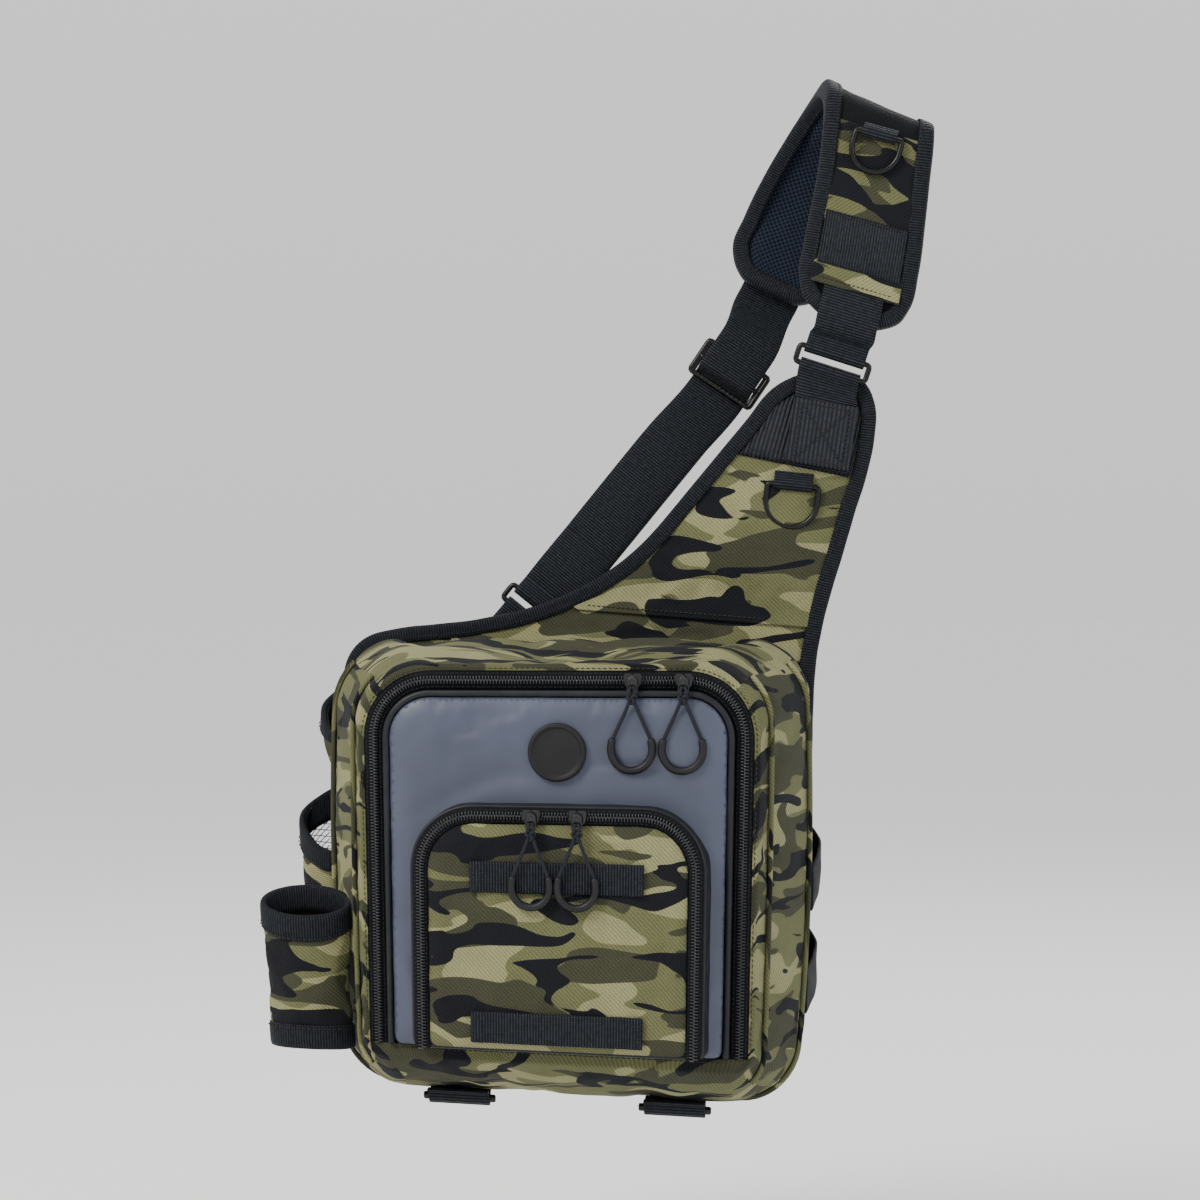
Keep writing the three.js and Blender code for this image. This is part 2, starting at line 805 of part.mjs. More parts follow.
function pullCord(x, top, half, y) {
  const path = new THREE.CatmullRomCurve3(pullPoints(x, top, half, y));
  const shape = circleShape(cordDiameter / 2, 8);
  const cord = new THREE.ExtrudeGeometry(shape, { steps: 16, extrudePath: path, bevelEnabled: false });
  const knot = new THREE.SphereGeometry(knotRadius, 8, 4);
  knot.rotateX(Math.PI / 2);
  knot.translate(x, y, top);
  return joined([bare(cord), bare(knot)]);
}

// Moulded tube round the lower bend of a pull cord
function pullTube(x, top, half, y) {
  const bend = top - pullLength + half;
  const line = [
    new THREE.Vector2(x + half * 0.965, bend + 3.4),
    ...arc(x, bend, half, 360, 180, 6),
    new THREE.Vector2(x - half * 0.965, bend + 3.4),
  ];
  const bore = cordDiameter / 2 + cordGap;
  const outer = bore + pullTubeWall;
  const outward = sweptRings(line, roundSection(outer, 8, 0, y), false);
  const inward = sweptRings(line, roundSection(bore, 8, 0, y), false).reverse();
  return skin([...outward, ...inward], true);
}

// Sheets laid on the side of the shell

// A sheet from its outer surface, a wall thickness and the cells that are cut out of it
function sheet(surface, columns, rows, inward, isHole = () => false) {
  const outer = rows.map((v) => columns.map((u) => surface(u, v)));
  const inner = outer.map((line) => line.map((point) => point.clone().add(inward)));
  const out = [];
  const isInside = (i, k) => i >= 0 && k >= 0 && i < rows.length - 1 && k < columns.length - 1;
  const solidCell = (i, k) => isInside(i, k) && !isHole(i, k);
  for (let i = 0; i < rows.length - 1; i += 1) {
    for (let k = 0; k < columns.length - 1; k += 1) {
      if (!solidCell(i, k)) {
        continue;
      }
      pushQuad(out, outer[i][k], outer[i][k + 1], outer[i + 1][k + 1], outer[i + 1][k]);
      pushQuad(out, inner[i][k], inner[i + 1][k], inner[i + 1][k + 1], inner[i][k + 1]);
      if (!solidCell(i - 1, k)) {
        pushQuad(out, outer[i][k + 1], outer[i][k], inner[i][k], inner[i][k + 1]);
      }
      if (!solidCell(i + 1, k)) {
        pushQuad(out, outer[i + 1][k], outer[i + 1][k + 1], inner[i + 1][k + 1], inner[i + 1][k]);
      }
      if (!solidCell(i, k - 1)) {
        pushQuad(out, outer[i][k], outer[i + 1][k], inner[i + 1][k], inner[i][k]);
      }
      if (!solidCell(i, k + 1)) {
        pushQuad(out, outer[i + 1][k + 1], outer[i][k + 1], inner[i][k + 1], inner[i + 1][k + 1]);
      }
    }
  }
  return solid(out);
}

const evenShares = (count) => Array.from({ length: count + 1 }, (unused, i) => i / count);

// The outer face of a pocket on the left side. u runs from its back edge to its front edge, v from
// its foot to its rim, and extra moves the surface outward.
function pouchSurface(pocket, extra) {
  return (u, v) => {
    const y = lerp(pocket.back, pocket.front, u);
    const rim = lerp(pocket.rimBack, pocket.rimFront, u);
    const z = lerp(pocket.low, rim, v);
    const upward = Math.sin(Math.PI * Math.min(v * 0.62, 0.5));
    const swell = pouchSeat + pocket.bulge * upward * Math.sin(Math.PI * u) ** 0.6;
    return new THREE.Vector3(bagCentreX - sideReach(y, z) - swell - extra, y, z);
  };
}

const inwardX = (wall) => new THREE.Vector3(wall, 0, 0);

function upperSidePocket() {
  return sheet(pouchSurface(upperPocket, 0), evenShares(8), evenShares(5), inwardX(clothWall));
}

// Binding over the rim of a side pocket, from the share of its height where the tape starts
function pouchBinding(pocket, foot, columns) {
  const surface = pouchSurface(pocket, bindingWall + seamGap);
  return sheet(surface, columns, [foot, 1], inwardX(bindingWall));
}

const netSpan = { left: 0.12, right: 0.62, low: 0.5, high: 0.86 };

// Shares across a net that start each gap and each strand
function netShares(from, to, gaps, strand) {
  const step = (to - from) / gaps;
  const shares = [];
  for (let i = 0; i < gaps; i += 1) {
    shares.push(from + i * step, from + (i + 1) * step - strand);
  }
  return shares;
}

function meshPocketColumns() {
  const strand = netStrand / Math.abs(meshPocket.back - meshPocket.front);
  const net = netShares(netSpan.left, netSpan.right, netColumns, strand);
  return [0, ...net, netSpan.right, 0.75, 0.88, 1];
}

// Side pocket with a coarse net in the rear half of its upper part
function meshSidePocket() {
  const strand = netStrand / (meshPocket.rimBack - meshPocket.low);
  const lowRows = [0, 0.25];
  const rows = [...lowRows, ...netShares(netSpan.low, netSpan.high, netRows, strand), netSpan.high, 1];
  const isHole = (i, k) => {
    const column = k - 1;
    const row = i - lowRows.length;
    const inNet = column >= 0 && column < 2 * netColumns && row >= 0 && row < 2 * netRows;
    return inNet && column % 2 === 0 && row % 2 === 0;
  };
  return sheet(pouchSurface(meshPocket, 0), meshPocketColumns(), rows, inwardX(clothWall), isHole);
}

// A strap across the right side, from the piping up to the back edge
function sideStrap(lowZ) {
  const nearPiping = shellY(sidePipingRow) + 2 * pipingRadius;
  const surface = (u, v) => {
    const y = lerp(nearPiping, bagBackY - bindingWall - seamGap, u);
    const z = lowZ + sideStrapRise * u + sideStrapWidth * v;
    const bow = 0.6 + sideStrapBow * Math.sin(Math.PI * (0.1 + 0.8 * u));
    return new THREE.Vector3(bagCentreX + sideReach(y, z) + bow + webbingThickness, y, z);
  };
  return sheet(surface, evenShares(7), [0, 1], inwardX(-webbingThickness));
}

// Tool holder: an upright oval tube, higher at the back

const holderSeatX = bagCentreX - sideReach(holderCentreY, holderLow + holderHeight / 2) - seamGap;

// A level ring of the holder, wall outside its surface, with its back raised by lean
function holderRing(z, wall, lean = 0) {
  const share = (z - holderLow) / holderHeight;
  const half = lerp(holderWidth - 4, holderWidth, share) / 2;
  const reach = bindingWall + seamGap;
  const centre = holderSeatX - reach - 1 - half;
  const points = [];
  const sides = 20;
  for (let i = 0; i < sides; i += 1) {
    const angle = (2 * Math.PI * i) / sides;
    const across = Math.cos(angle) * (half + wall);
    const deep = Math.sin(angle) * (holderDepth / 2 + wall);
    const slope = (deep / holderDepth) * lean;
    points.push(new THREE.Vector3(centre + across, holderCentreY + deep, z + slope));
  }
  return points;
}

function toolHolder() {
  const top = holderLow + holderHeight;
  return skin([
    holderRing(holderLow, 0),
    holderRing(top, 0, holderSlant),
    holderRing(top, -clothWall, holderSlant),
    holderRing(holderLow, -clothWall),
  ], true);
}

function holderBand(z, lean) {
  const near = seamGap;
  const far = seamGap + bindingWall;
  return skin([
    holderRing(z, far, lean),
    holderRing(z + holderBandHeight, far, lean),
    holderRing(z + holderBandHeight, near, lean),
    holderRing(z, near, lean),
  ], true);
}

// Ribbons: rows of a centre, a direction across and a half width

function placed(station) {
  const matrix = new THREE.Matrix4().makeRotationY(radians(station.tilt));
  matrix.setPosition(station.x, station.y, station.z);
  return matrix;
}

function ribbon(rows, thickness, chamfer = 0, closed = false) {
  const count = rows.length;
  const rings = rows.map((row, i) => {
    const before = closed ? rows[(i - 1 + count) % count] : rows[Math.max(i - 1, 0)];
    const after = closed ? rows[(i + 1) % count] : rows[Math.min(i + 1, count - 1)];
    const intoRow = new THREE.Vector3().subVectors(row.centre, before.centre).normalize();
    const outOfRow = new THREE.Vector3().subVectors(after.centre, row.centre).normalize();
    const along = new THREE.Vector3().addVectors(intoRow, outOfRow).normalize();
    const face = new THREE.Vector3().crossVectors(along, row.across).normalize();
    const isEnd = !closed && (i === 0 || i === count - 1);
    const half = thickness / 2 / (isEnd ? 1 : Math.max(along.dot(outOfRow), 0.6));
    const corner = (side, depth) => row.centre.clone()
      .addScaledVector(row.across, side)
      .addScaledVector(face, depth);
    if (!chamfer) {
      return [
        corner(-row.half, -half), corner(row.half, -half), corner(row.half, half), corner(-row.half, half),
      ];
    }
    const inner = row.half - chamfer;
    const low = half - chamfer;
    return [
      corner(-inner, -half), corner(inner, -half), corner(row.half, -low), corner(row.half, low),
      corner(inner, half), corner(-inner, half), corner(-row.half, low), corner(-row.half, -low),
    ];
  });
  return skin(rings, closed);
}

function acrossAt(tilt) {
  const angle = radians(tilt);
  return new THREE.Vector3(Math.cos(angle), 0, -Math.sin(angle));
}

// Rows round a bar of a station's local frame, whose x runs along the bar
function wrapRows(matrix, barZ, radius, from, to, half, steps = 6) {
  const across = new THREE.Vector3(1, 0, 0).transformDirection(matrix);
  return Array.from({ length: steps + 1 }, (unused, i) => {
    const angle = radians(lerp(from, to, i / steps));
    const local = new THREE.Vector3(0, radius * Math.cos(angle), barZ + radius * Math.sin(angle));
    return { centre: local.applyMatrix4(matrix), across, half };
  });
}

function localRow(matrix, y, z, half) {
  const across = new THREE.Vector3(1, 0, 0).transformDirection(matrix);
  return { centre: new THREE.Vector3(0, y, z).applyMatrix4(matrix), across, half };
}

const webbingHalf = webbingWidth / 2;
const wrapRadius = ringWire + seamGap + webbingThickness / 2;
const patchThickness = 1.2;
const clothFaceY = panelFrontY;
const patchFaceY = clothFaceY - seamGap - patchThickness;
const tabBackY = patchFaceY - seamGap - webbingThickness / 2;
const tabFrontY = tabBackY - webbingThickness - seamGap;

// Coarse cloth over the top of the wing, below the strap
function wingPatch() {
  const across = new THREE.Vector2(Math.cos(radians(12)), -Math.sin(radians(12)));
  const edge = grown(backEdge, -bindingWidth - seamGap);
  const foot = new THREE.Vector2(tabStation.x, tabStation.z - 1);
  const side = (point) => new THREE.Vector2().subVectors(point, foot).cross(across);
  const inside = (point) => side(point) < 0;
  const kept = [];
  edge.forEach((point, k) => {
    const next = edge[(k + 1) % edge.length];
    if (inside(point)) {
      kept.push(point);
    }
    if (inside(point) !== inside(next)) {
      const share = side(point) / (side(point) - side(next));
      kept.push(point.clone().lerp(next, share));
    }
  });
  return plate(kept, patchFaceY, clothFaceY - seamGap);
}

// Webbing sewn on the wing, up round the ring's lower bar and back down over itself
function wingTab() {
  const ring = placed(ringStation);
  const foot = acrossAt(tabStation.tilt);
  const low = (y, rise, share) => ({
    centre: new THREE.Vector3(lerp(tabStation.x, ringStation.x, share), y, tabStation.z + rise),
    across: foot,
    half: webbingHalf,
  });
  const middleRise = (ringStation.z - tabStation.z) * 0.5;
  return ribbon([
    low(tabBackY, 0, 0),
    low(tabBackY, middleRise, 0.5),
    ...wrapRows(ring, -ringSpacing / 2, wrapRadius, -40, 220, webbingHalf, 7),
    low(tabFrontY, middleRise, 0.5),
    low(tabFrontY, 2, 0.03),
  ], webbingThickness);
}

function rectangularRing(innerWidth, spacing) {
  const loop = archLoop({
    centreX: 0,
    half: innerWidth / 2 + ringWire,
    top: spacing / 2,
    radius: 2,
    low: -spacing / 2,
    cornerLow: 2,
  }, 2);
  return swept(loop, roundSection(ringWire, 8));
}

function inFrame(geometry, station) {
  return geometry.applyMatrix4(placed(station));
}

const padEnd = padRows[0];
const padTail = padRows[padRows.length - 1];
const padEndGap = bindingWall + 2 * seamGap;

// Webbing from the ring's upper bar to the front end of the pad
function frontWebbing() {
  const ring = placed(ringStation);
  const below = new THREE.Vector3(padEnd.x - 0.9, padEnd.y, padEnd.z - padEndGap);
  const outerY = padEnd.y - ringStation.y - 0.4;
  return ribbon([
    { centre: below, across: acrossAt(padEnd.tilt), half: webbingHalf * 0.86 },
    localRow(ring, outerY, ringSpacing / 2 + 9, webbingHalf),
    ...wrapRows(ring, ringSpacing / 2, wrapRadius, 30, -215, webbingHalf, 7),
    localRow(ring, outerY - webbingThickness - seamGap, ringSpacing / 2 + 9.5, webbingHalf),
  ], webbingThickness);
}

// The tape that holds a D ring, in the ring's own frame with its bar at the origin
function ringTape({ tape, tapeLength }) {
  const radius = ringWire + seamGap + tapeThickness / 2;
  const identity = new THREE.Matrix4();
  const half = tape / 2;
  return ribbon([
    localRow(identity, radius, tapeLength, half),
    ...wrapRows(identity, 0, radius, 0, -200, half, 6),
    localRow(identity, radius - tapeThickness - seamGap, tapeLength, half),
  ], tapeThickness);
}

function dRing({ width, drop }) {
  const half = width / 2 - ringWire;
  const line = [
    new THREE.Vector2(-half, -1.5),
    new THREE.Vector2(-half + 1.5, 0),
    new THREE.Vector2(half - 1.5, 0),
    new THREE.Vector2(half, -1.5),
    ...arc(0, 2 * ringWire - drop + half, half, 0, -180, 10),
  ];
  return swept(line, roundSection(ringWire, 8));
}

// Shoulder pad

function padRow(row, extra = 0) {
  return {
    centre: new THREE.Vector3(row.x, row.y, row.z),
    across: acrossAt(row.tilt),
    half: (row.across * padWidth) / 2 - bindingWall - seamGap + extra,
  };
}

function shoulderPad() {
  return ribbon(padRows.map((row) => padRow(row)), padWall, 1.2);
}

// The direction out of the pad's face at each of its rows
function padFaces(rows) {
  return rows.map((row, i) => {
    const before = rows[Math.max(i - 1, 0)];
    const after = rows[Math.min(i + 1, rows.length - 1)];
    const along = new THREE.Vector3().subVectors(after.centre, before.centre).normalize();
    return new THREE.Vector3().crossVectors(along, row.across).normalize();
  });
}

// Tape round the whole edge of the pad
function padBinding() {
  const rows = padRows.map((row) => padRow(row));
  const faces = padFaces(rows);
  const edge = (side) => rows.map((row, i) => ({
    spot: row.centre.clone().addScaledVector(row.across, side * row.half),
    face: faces[i],
  }));
  const loop = [...edge(1), ...edge(-1).reverse()];
  const count = loop.length;
  const distance = seamGap + bindingWall / 2;
  const band = loop.map(({ spot, face }, k) => {
    const into = new THREE.Vector3().subVectors(spot, loop[(k - 1 + count) % count].spot).normalize();
    const outOf = new THREE.Vector3().subVectors(loop[(k + 1) % count].spot, spot).normalize();
    const along = new THREE.Vector3().addVectors(into, outOf).normalize();
    const outward = new THREE.Vector3().crossVectors(face, along).normalize();
    const centre = spot.clone().addScaledVector(outward, distance / along.dot(outOf));
    return { centre, across: face, half: padWall / 2 + 0.6 };
  });
  return ribbon(band, bindingWall, 0, true);
}

// The pad's front leg, from its low end up to the last row before the fold leans back
const frontLeg = padRows.filter((row) => row.across > 0.5 && row.y < 47);

// A row of a layer on the outer face of the pad's front leg, at a height
function padLayerRow(z, offset, half) {
  let next = 1;
  while (next < frontLeg.length - 1 && frontLeg[next].z < z) {
    next += 1;
  }
  const before = frontLeg[next - 1];
  const after = frontLeg[next];
  const share = (z - before.z) / (after.z - before.z);
  return {
    centre: new THREE.Vector3(lerp(before.x, after.x, share), lerp(before.y, after.y, share) - offset, z),
    across: acrossAt(lerp(before.tilt, after.tilt, share)),
    half,
  };
}

function padLayerRows(lowZ, highZ, offset, half) {
  const between = frontLeg.map((row) => row.z).filter((z) => z > lowZ + 4 && z < highZ - 4);
  return [lowZ, ...between, highZ].map((z) => padLayerRow(z, offset, half));
}

const coverOffset = padWall / 2 + seamGap + padCoverThickness / 2;
const bandOffset = coverOffset + padCoverThickness / 2 + seamGap + webbingThickness / 2;

function padCover() {
  return ribbon(padLayerRows(padCoverLow, padCoverHigh, coverOffset, padCoverWidth / 2), padCoverThickness);
}

function padBand() {
  const rows = padLayerRows(padBandLow, padBandLow + padBandHeight, bandOffset, padCoverWidth / 2);
  return ribbon(rows, webbingThickness);
}

// Rear strap

const sliderHalfHeight = sliderBarSpacing + sliderBarThickness / 2;

function strapSlider() {
  const half = ringInnerWidth / 2 + sliderFrameBorder;
  const frame = new THREE.Shape(archLoop({
    centreX: 0,
    half,
    top: sliderHalfHeight,
    radius: 3,
    low: -sliderHalfHeight,
    cornerLow: 3,
  }, 2));
  [1, -1].forEach((side) => {
    const near = (side * sliderBarThickness) / 2;
    const far = side * (sliderBarSpacing - sliderBarThickness / 2);
    const low = Math.min(near, far);
    const high = Math.max(near, far);
    const width = ringInnerWidth / 2;
    frame.holes.push(new THREE.Path([
      new THREE.Vector2(-width, low), new THREE.Vector2(width, low),
      new THREE.Vector2(width, high), new THREE.Vector2(-width, high),
    ]));
  });
  const geometry = new THREE.ExtrudeGeometry(frame, { depth: sliderBarThickness, bevelEnabled: false });
  geometry.rotateX(Math.PI / 2);
  geometry.translate(0, sliderBarThickness / 2, 0);
  return bare(geometry);
}

// From the pad's rear end through the slider down to the lower ring, round its bar and back up
function rearWebbing() {
  const slider = placed(strapSliderStation);
  const ring = placed(lowerRingStation);
  const clear = sliderBarThickness / 2 + 1.5 * seamGap + webbingThickness / 2;
  const start = new THREE.Vector3(padTail.x - 1.4, padTail.y, padTail.z - padEndGap);
  const between = (share, y) => ({
    centre: new THREE.Vector3(
      lerp(strapSliderStation.x, lowerRingStation.x, share),
      lerp(strapSliderStation.y, lowerRingStation.y, share) + y,
      lerp(strapSliderStation.z, lowerRingStation.z, share),
    ),
    across: acrossAt(lerp(strapSliderStation.tilt, lowerRingStation.tilt, Math.min(2 * share, 1))),
    half: webbingHalf,
  });
  return ribbon([
    { centre: start, across: acrossAt(padTail.tilt), half: webbingHalf * 0.9 },
    localRow(slider, clear + 1, sliderBarSpacing + 12, webbingHalf),
    localRow(slider, clear, sliderBarSpacing + 1.6, webbingHalf),
    localRow(slider, clear, sliderBarSpacing - 1.6, webbingHalf),
    localRow(slider, -clear, 2, webbingHalf),
    localRow(slider, -clear, -2, webbingHalf),
    localRow(slider, clear, -sliderBarSpacing + 1.6, webbingHalf),
    localRow(slider, clear, -sliderBarSpacing - 1.6, webbingHalf),
    between(0.3, -0.4),
    between(0.6, -1.2),
    ...wrapRows(ring, ringSpacing / 2, wrapRadius, 150, 390, webbingHalf, 7),
    between(0.6, 2.6),
    between(0.25, 5.6),
  ], webbingThickness);
}

// Webbing round the lower ring's other bar, sewn to the back of the panel
function lowerTab() {
  const ring = placed(lowerRingStation);
  const sewnY = panelBackY + bindingWall + 2 * seamGap + webbingThickness / 2 - lowerRingStation.y;
  return ribbon([
    localRow(ring, sewnY, -tabLength, webbingHalf),
    localRow(ring, sewnY, -ringSpacing / 2 - 14, webbingHalf),
    ...wrapRows(ring, -ringSpacing / 2, wrapRadius, 200, -25, webbingHalf, 7),
    localRow(ring, sewnY + webbingThickness + seamGap, -ringSpacing / 2 - 15, webbingHalf),
    localRow(ring, sewnY + webbingThickness + seamGap, -tabLength, webbingHalf),
  ], webbingThickness);
}

// Underside

function bottomZ(y) {
  return bagLow + shellRowAt(y).low * bagHeight;
}

// Webbing loop under the bag, round a bar that shows at both ends
function keeperParts(x) {
  const reach = keeperBarRadius + seamGap;
  const span = reach + webbingThickness + keeperSewn;
  const bagZ = Math.min(bottomZ(keeperY - span), bottomZ(keeperY), bottomZ(keeperY + span));
  const station = { x, y: keeperY, z: bagZ - seamGap - webbingThickness - reach - 1.2, tilt: 0 };
  const matrix = placed(station);
  const radius = reach + webbingThickness / 2;
  const top = reach + webbingThickness / 2 + 1;
  const webbing = ribbon([
    localRow(matrix, -radius - keeperSewn, top, webbingHalf),
    localRow(matrix, -radius - 1.5, top, webbingHalf),
    ...wrapRows(matrix, 0, radius, -180, 0, webbingHalf, 6),
    localRow(matrix, radius + 1.5, top, webbingHalf),
    localRow(matrix, radius + keeperSewn, top, webbingHalf),
  ], webbingThickness);
  const shape = new THREE.Shape(arc(0, 0, keeperBarRadius, 0, 315, 7));
  const bar = new THREE.ExtrudeGeometry(shape, { depth: keeperBarLength, bevelEnabled: false });
  bar.rotateY(Math.PI / 2);
  bar.translate(-keeperBarLength / 2, 0, 0);
  bar.applyMatrix4(matrix);
  return { webbing, bar: bare(bar) };
}

// Colours as seen on the bag, and the scene graph

const finishes = {
  camo: { color: 0x6f6d45, roughness: 0.85, metalness: 0 },
  coated: { color: 0x3f434f, roughness: 0.45, metalness: 0 },
  black: { color: 0x15171c, roughness: 0.85, metalness: 0 },
  webbing: { color: 0x1a1d22, roughness: 0.75, metalness: 0 },
  plastic: { color: 0x121315, roughness: 0.4, metalness: 0 },
  zip: { color: 0x1c1e22, roughness: 0.6, metalness: 0 },
  metal: { color: 0x2a2b2e, roughness: 0.35, metalness: 0.8 },
  rubber: { color: 0x24272d, roughness: 0.5, metalness: 0 },
  cord: { color: 0x111216, roughness: 0.8, metalness: 0 },
  mesh: { color: 0x1b1f2b, roughness: 0.9, metalness: 0 },
};

const whole = new THREE.Group();
const bag = new THREE.Group();
bag.position.copy(hangPoint).negate();
whole.add(bag);

function add(name, geometry, finish, parent = bag) {
  const mesh = new THREE.Mesh(geometry, new THREE.MeshStandardMaterial(finishes[finish]));
  mesh.name = name;
  parent.add(mesh);
  return mesh;
}

function addHinged(name, geometry, finish, position, tilt) {
  const pivot = new THREE.Group();
  pivot.position.copy(position);
  pivot.rotation.y = radians(tilt);
  bag.add(pivot);
  add(name, geometry, finish, pivot);
  return pivot;
}

add('back_panel', hang(backPanel()), 'mesh');
add('back_binding', hang(backBinding()), 'black');
add('bag_shell', hang(bagShell()), 'camo');
add('side_piping', hang(sidePiping()), 'camo');
add('front_piping_left', hang(frontPiping(-1)), 'camo');
add('front_piping_right', hang(frontPiping(1)), 'camo');
add('main_zip', hang(zipArch(mainArch, zipTapeWidth, frontY + clothWall)), 'zip');
add('panel_piping', hang(panelPiping()), 'black');
add('front_panel', hang(frontPanel()), 'coated');
add('emblem_disc', hang(emblemDisc()), 'rubber');
add('pocket_wall', hang(pocketWall()), 'black');
add('pocket_zip', hang(zipArch(pocketArch, pocketZipTapeWidth, pocketTapeBackY)), 'zip');
add('pocket_face', hang(pocketFace()), 'camo');
add('pocket_webbing_upper', hang(pocketStrip(upperStripZ)), 'webbing');
add('pocket_webbing_lower', hang(pocketStrip(lowerStripZ)), 'webbing');

function addPulls(prefix, shares, arch, coilY, faceY, half) {
  ['left', 'right'].forEach((side, i) => {
    const x = arch.centreX + shares[i] * arch.half;
    const slideZ = arch.top;
    const knotTop = slideZ - pullTabLength + 1.5 - knotRadius - seamGap;
    const pullY = faceY - seamGap - cordDiameter / 2 - cordGap - pullTubeWall;
    add(`${prefix}_slider_${side}`, hang(zipSlider(x, slideZ, coilY)), 'metal');
    add(`${prefix}_pull_cord_${side}`, hang(pullCord(x, knotTop, half, pullY)), 'cord');
    add(`${prefix}_pull_tube_${side}`, hang(pullTube(x, knotTop, half, pullY)), 'rubber');
  });
}

const mainCoilY = frontY + clothWall - zipTapeThickness - zipCoilHeight;
const pocketCoilY = pocketTapeBackY - zipTapeThickness - zipCoilHeight;
const stripFrontY = pocketFaceY - seamGap - webbingThickness - 0.6;
addPulls('main', mainSliderShares, mainArch, mainCoilY, panelFaceY, mainPullHalfWidth);
addPulls('pocket', pocketSliderShares, pocketArch, pocketCoilY, stripFrontY, pocketPullHalfWidth);

add('upper_side_pocket', hang(upperSidePocket()), 'camo');
add('upper_side_binding', hang(pouchBinding(upperPocket, 0.8, evenShares(8))), 'black');
add('mesh_pocket', hang(meshSidePocket()), 'camo');
add('mesh_pocket_binding', hang(pouchBinding(meshPocket, netSpan.high, meshPocketColumns())), 'black');
add('tool_holder', hang(toolHolder()), 'camo');
const holderBandLow = holderLow + holderHeight - holderBandHeight;
add('tool_holder_top_binding', hang(holderBand(holderBandLow, holderSlant)), 'black');
add('tool_holder_base_binding', hang(holderBand(holderLow + 0.5, 0)), 'black');
add('side_strap_upper', hang(sideStrap(sideStrapLowZ[0])), 'webbing');
add('side_strap_lower', hang(sideStrap(sideStrapLowZ[1])), 'webbing');
['left', 'right'].forEach((side, i) => {
  const { webbing, bar } = keeperParts(keeperX[i]);
  add(`keeper_webbing_${side}`, hang(webbing), 'webbing');
  add(`keeper_bar_${side}`, hang(bar), 'plastic');
});

add('wing_patch', wingPatch(), 'black');
add('wing_tab', wingTab(), 'webbing');
add('strap_ring', inFrame(rectangularRing(ringInnerWidth, ringSpacing), ringStation), 'plastic');
add('front_webbing', frontWebbing(), 'webbing');

const tapeRadius = ringWire + seamGap + tapeThickness / 2;
const wingPivot = new THREE.Vector3(
  wingDStation.x,
  clothFaceY - seamGap - tapeThickness / 2 - tapeRadius,
  wingDStation.z,
);
addHinged('wing_d_ring', dRing(wingDRing), 'plastic', wingPivot, wingDStation.tilt);
add('wing_ring_tape', inFrame(ringTape(wingDRing), { ...wingPivot, tilt: wingDStation.tilt }), 'webbing');

add('shoulder_pad', shoulderPad(), 'mesh');
add('pad_binding', padBinding(), 'black');
add('pad_cover', padCover(), 'camo');
add('pad_band', padBand(), 'webbing');
const padTapeOffset = coverOffset + padCoverThickness / 2 + seamGap + tapeThickness / 2 + tapeRadius;
const padTapeY = padLayerRow(padDStation.z, padTapeOffset, webbingHalf).centre.y;
const padPivot = new THREE.Vector3(padDStation.x, padTapeY, padDStation.z);
addHinged('pad_d_ring', dRing(padDRing), 'plastic', padPivot, padDStation.tilt);
add('pad_ring_tape', inFrame(ringTape(padDRing), { ...padPivot, tilt: padDStation.tilt }), 'webbing');

add('rear_webbing', rearWebbing(), 'webbing');
add('strap_slider', inFrame(strapSlider(), strapSliderStation), 'plastic');
add('lower_ring', inFrame(rectangularRing(ringInnerWidth, ringSpacing), lowerRingStation), 'plastic');
add('lower_tab', lowerTab(), 'webbing');

export default whole;
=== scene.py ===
"""The looks of a one-strap fishing tackle sling bag, hanging by its shoulder pad.

Shapes are worked out in millimetres in the bag's own coordinates, z = 0 near the bottom and
y = 0 inside the bag, and moved to the frame's metres when a piece is made.
"""

import math

import bmesh
import bpy
import numpy as np
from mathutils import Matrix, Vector
from mathutils.geometry import delaunay_2d_cdt


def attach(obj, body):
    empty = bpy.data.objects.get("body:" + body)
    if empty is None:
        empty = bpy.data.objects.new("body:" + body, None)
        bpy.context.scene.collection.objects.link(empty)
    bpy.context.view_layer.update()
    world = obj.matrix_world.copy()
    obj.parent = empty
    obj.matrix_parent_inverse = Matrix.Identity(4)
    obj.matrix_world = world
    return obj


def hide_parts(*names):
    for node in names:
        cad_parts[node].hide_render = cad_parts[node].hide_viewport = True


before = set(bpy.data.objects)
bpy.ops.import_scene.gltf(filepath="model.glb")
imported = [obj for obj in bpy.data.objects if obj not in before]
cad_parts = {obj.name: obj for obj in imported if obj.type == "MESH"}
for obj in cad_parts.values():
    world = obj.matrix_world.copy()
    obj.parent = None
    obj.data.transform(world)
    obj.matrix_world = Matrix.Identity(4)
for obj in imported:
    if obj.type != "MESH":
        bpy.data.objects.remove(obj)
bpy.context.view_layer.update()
scene = bpy.context.scene

# Sizes in millimetres
SEAM_GAP = 0.3
CLOTH_WALL = 1.8
BINDING_WALL = 1.5
WEBBING_HALF = 19.0
WEBBING_THICKNESS = 1.6
TAPE_THICKNESS = 1.2
PIPING_RADIUS = 1.7
PANEL_PIPING_RADIUS = 2.1
BAG_WIDTH = 291.0
BAG_HEIGHT = 268.0
BAG_DEPTH = 116.0
BAG_CENTRE_X = 1.5
BAG_LOW = 8.0
BAG_BACK_Y = 50.0
BAG_FRONT_Y = BAG_BACK_Y - BAG_DEPTH
PANEL_THICKNESS = 7.0
BINDING_WIDTH = 9.5
HANG_LINE = 240.0
HANG_TAPER = 0.045
HANG_DROOP = 0.04
HANG_POINT = np.array((182.5, 74.0, 587.5))
WING_RISE = 164.0
WING_WIDTH = 76.0
MAIN_ARCH = {"centre": BAG_CENTRE_X, "half": 109.0, "top": 244.5, "radius": 34.0, "low": 30.0}
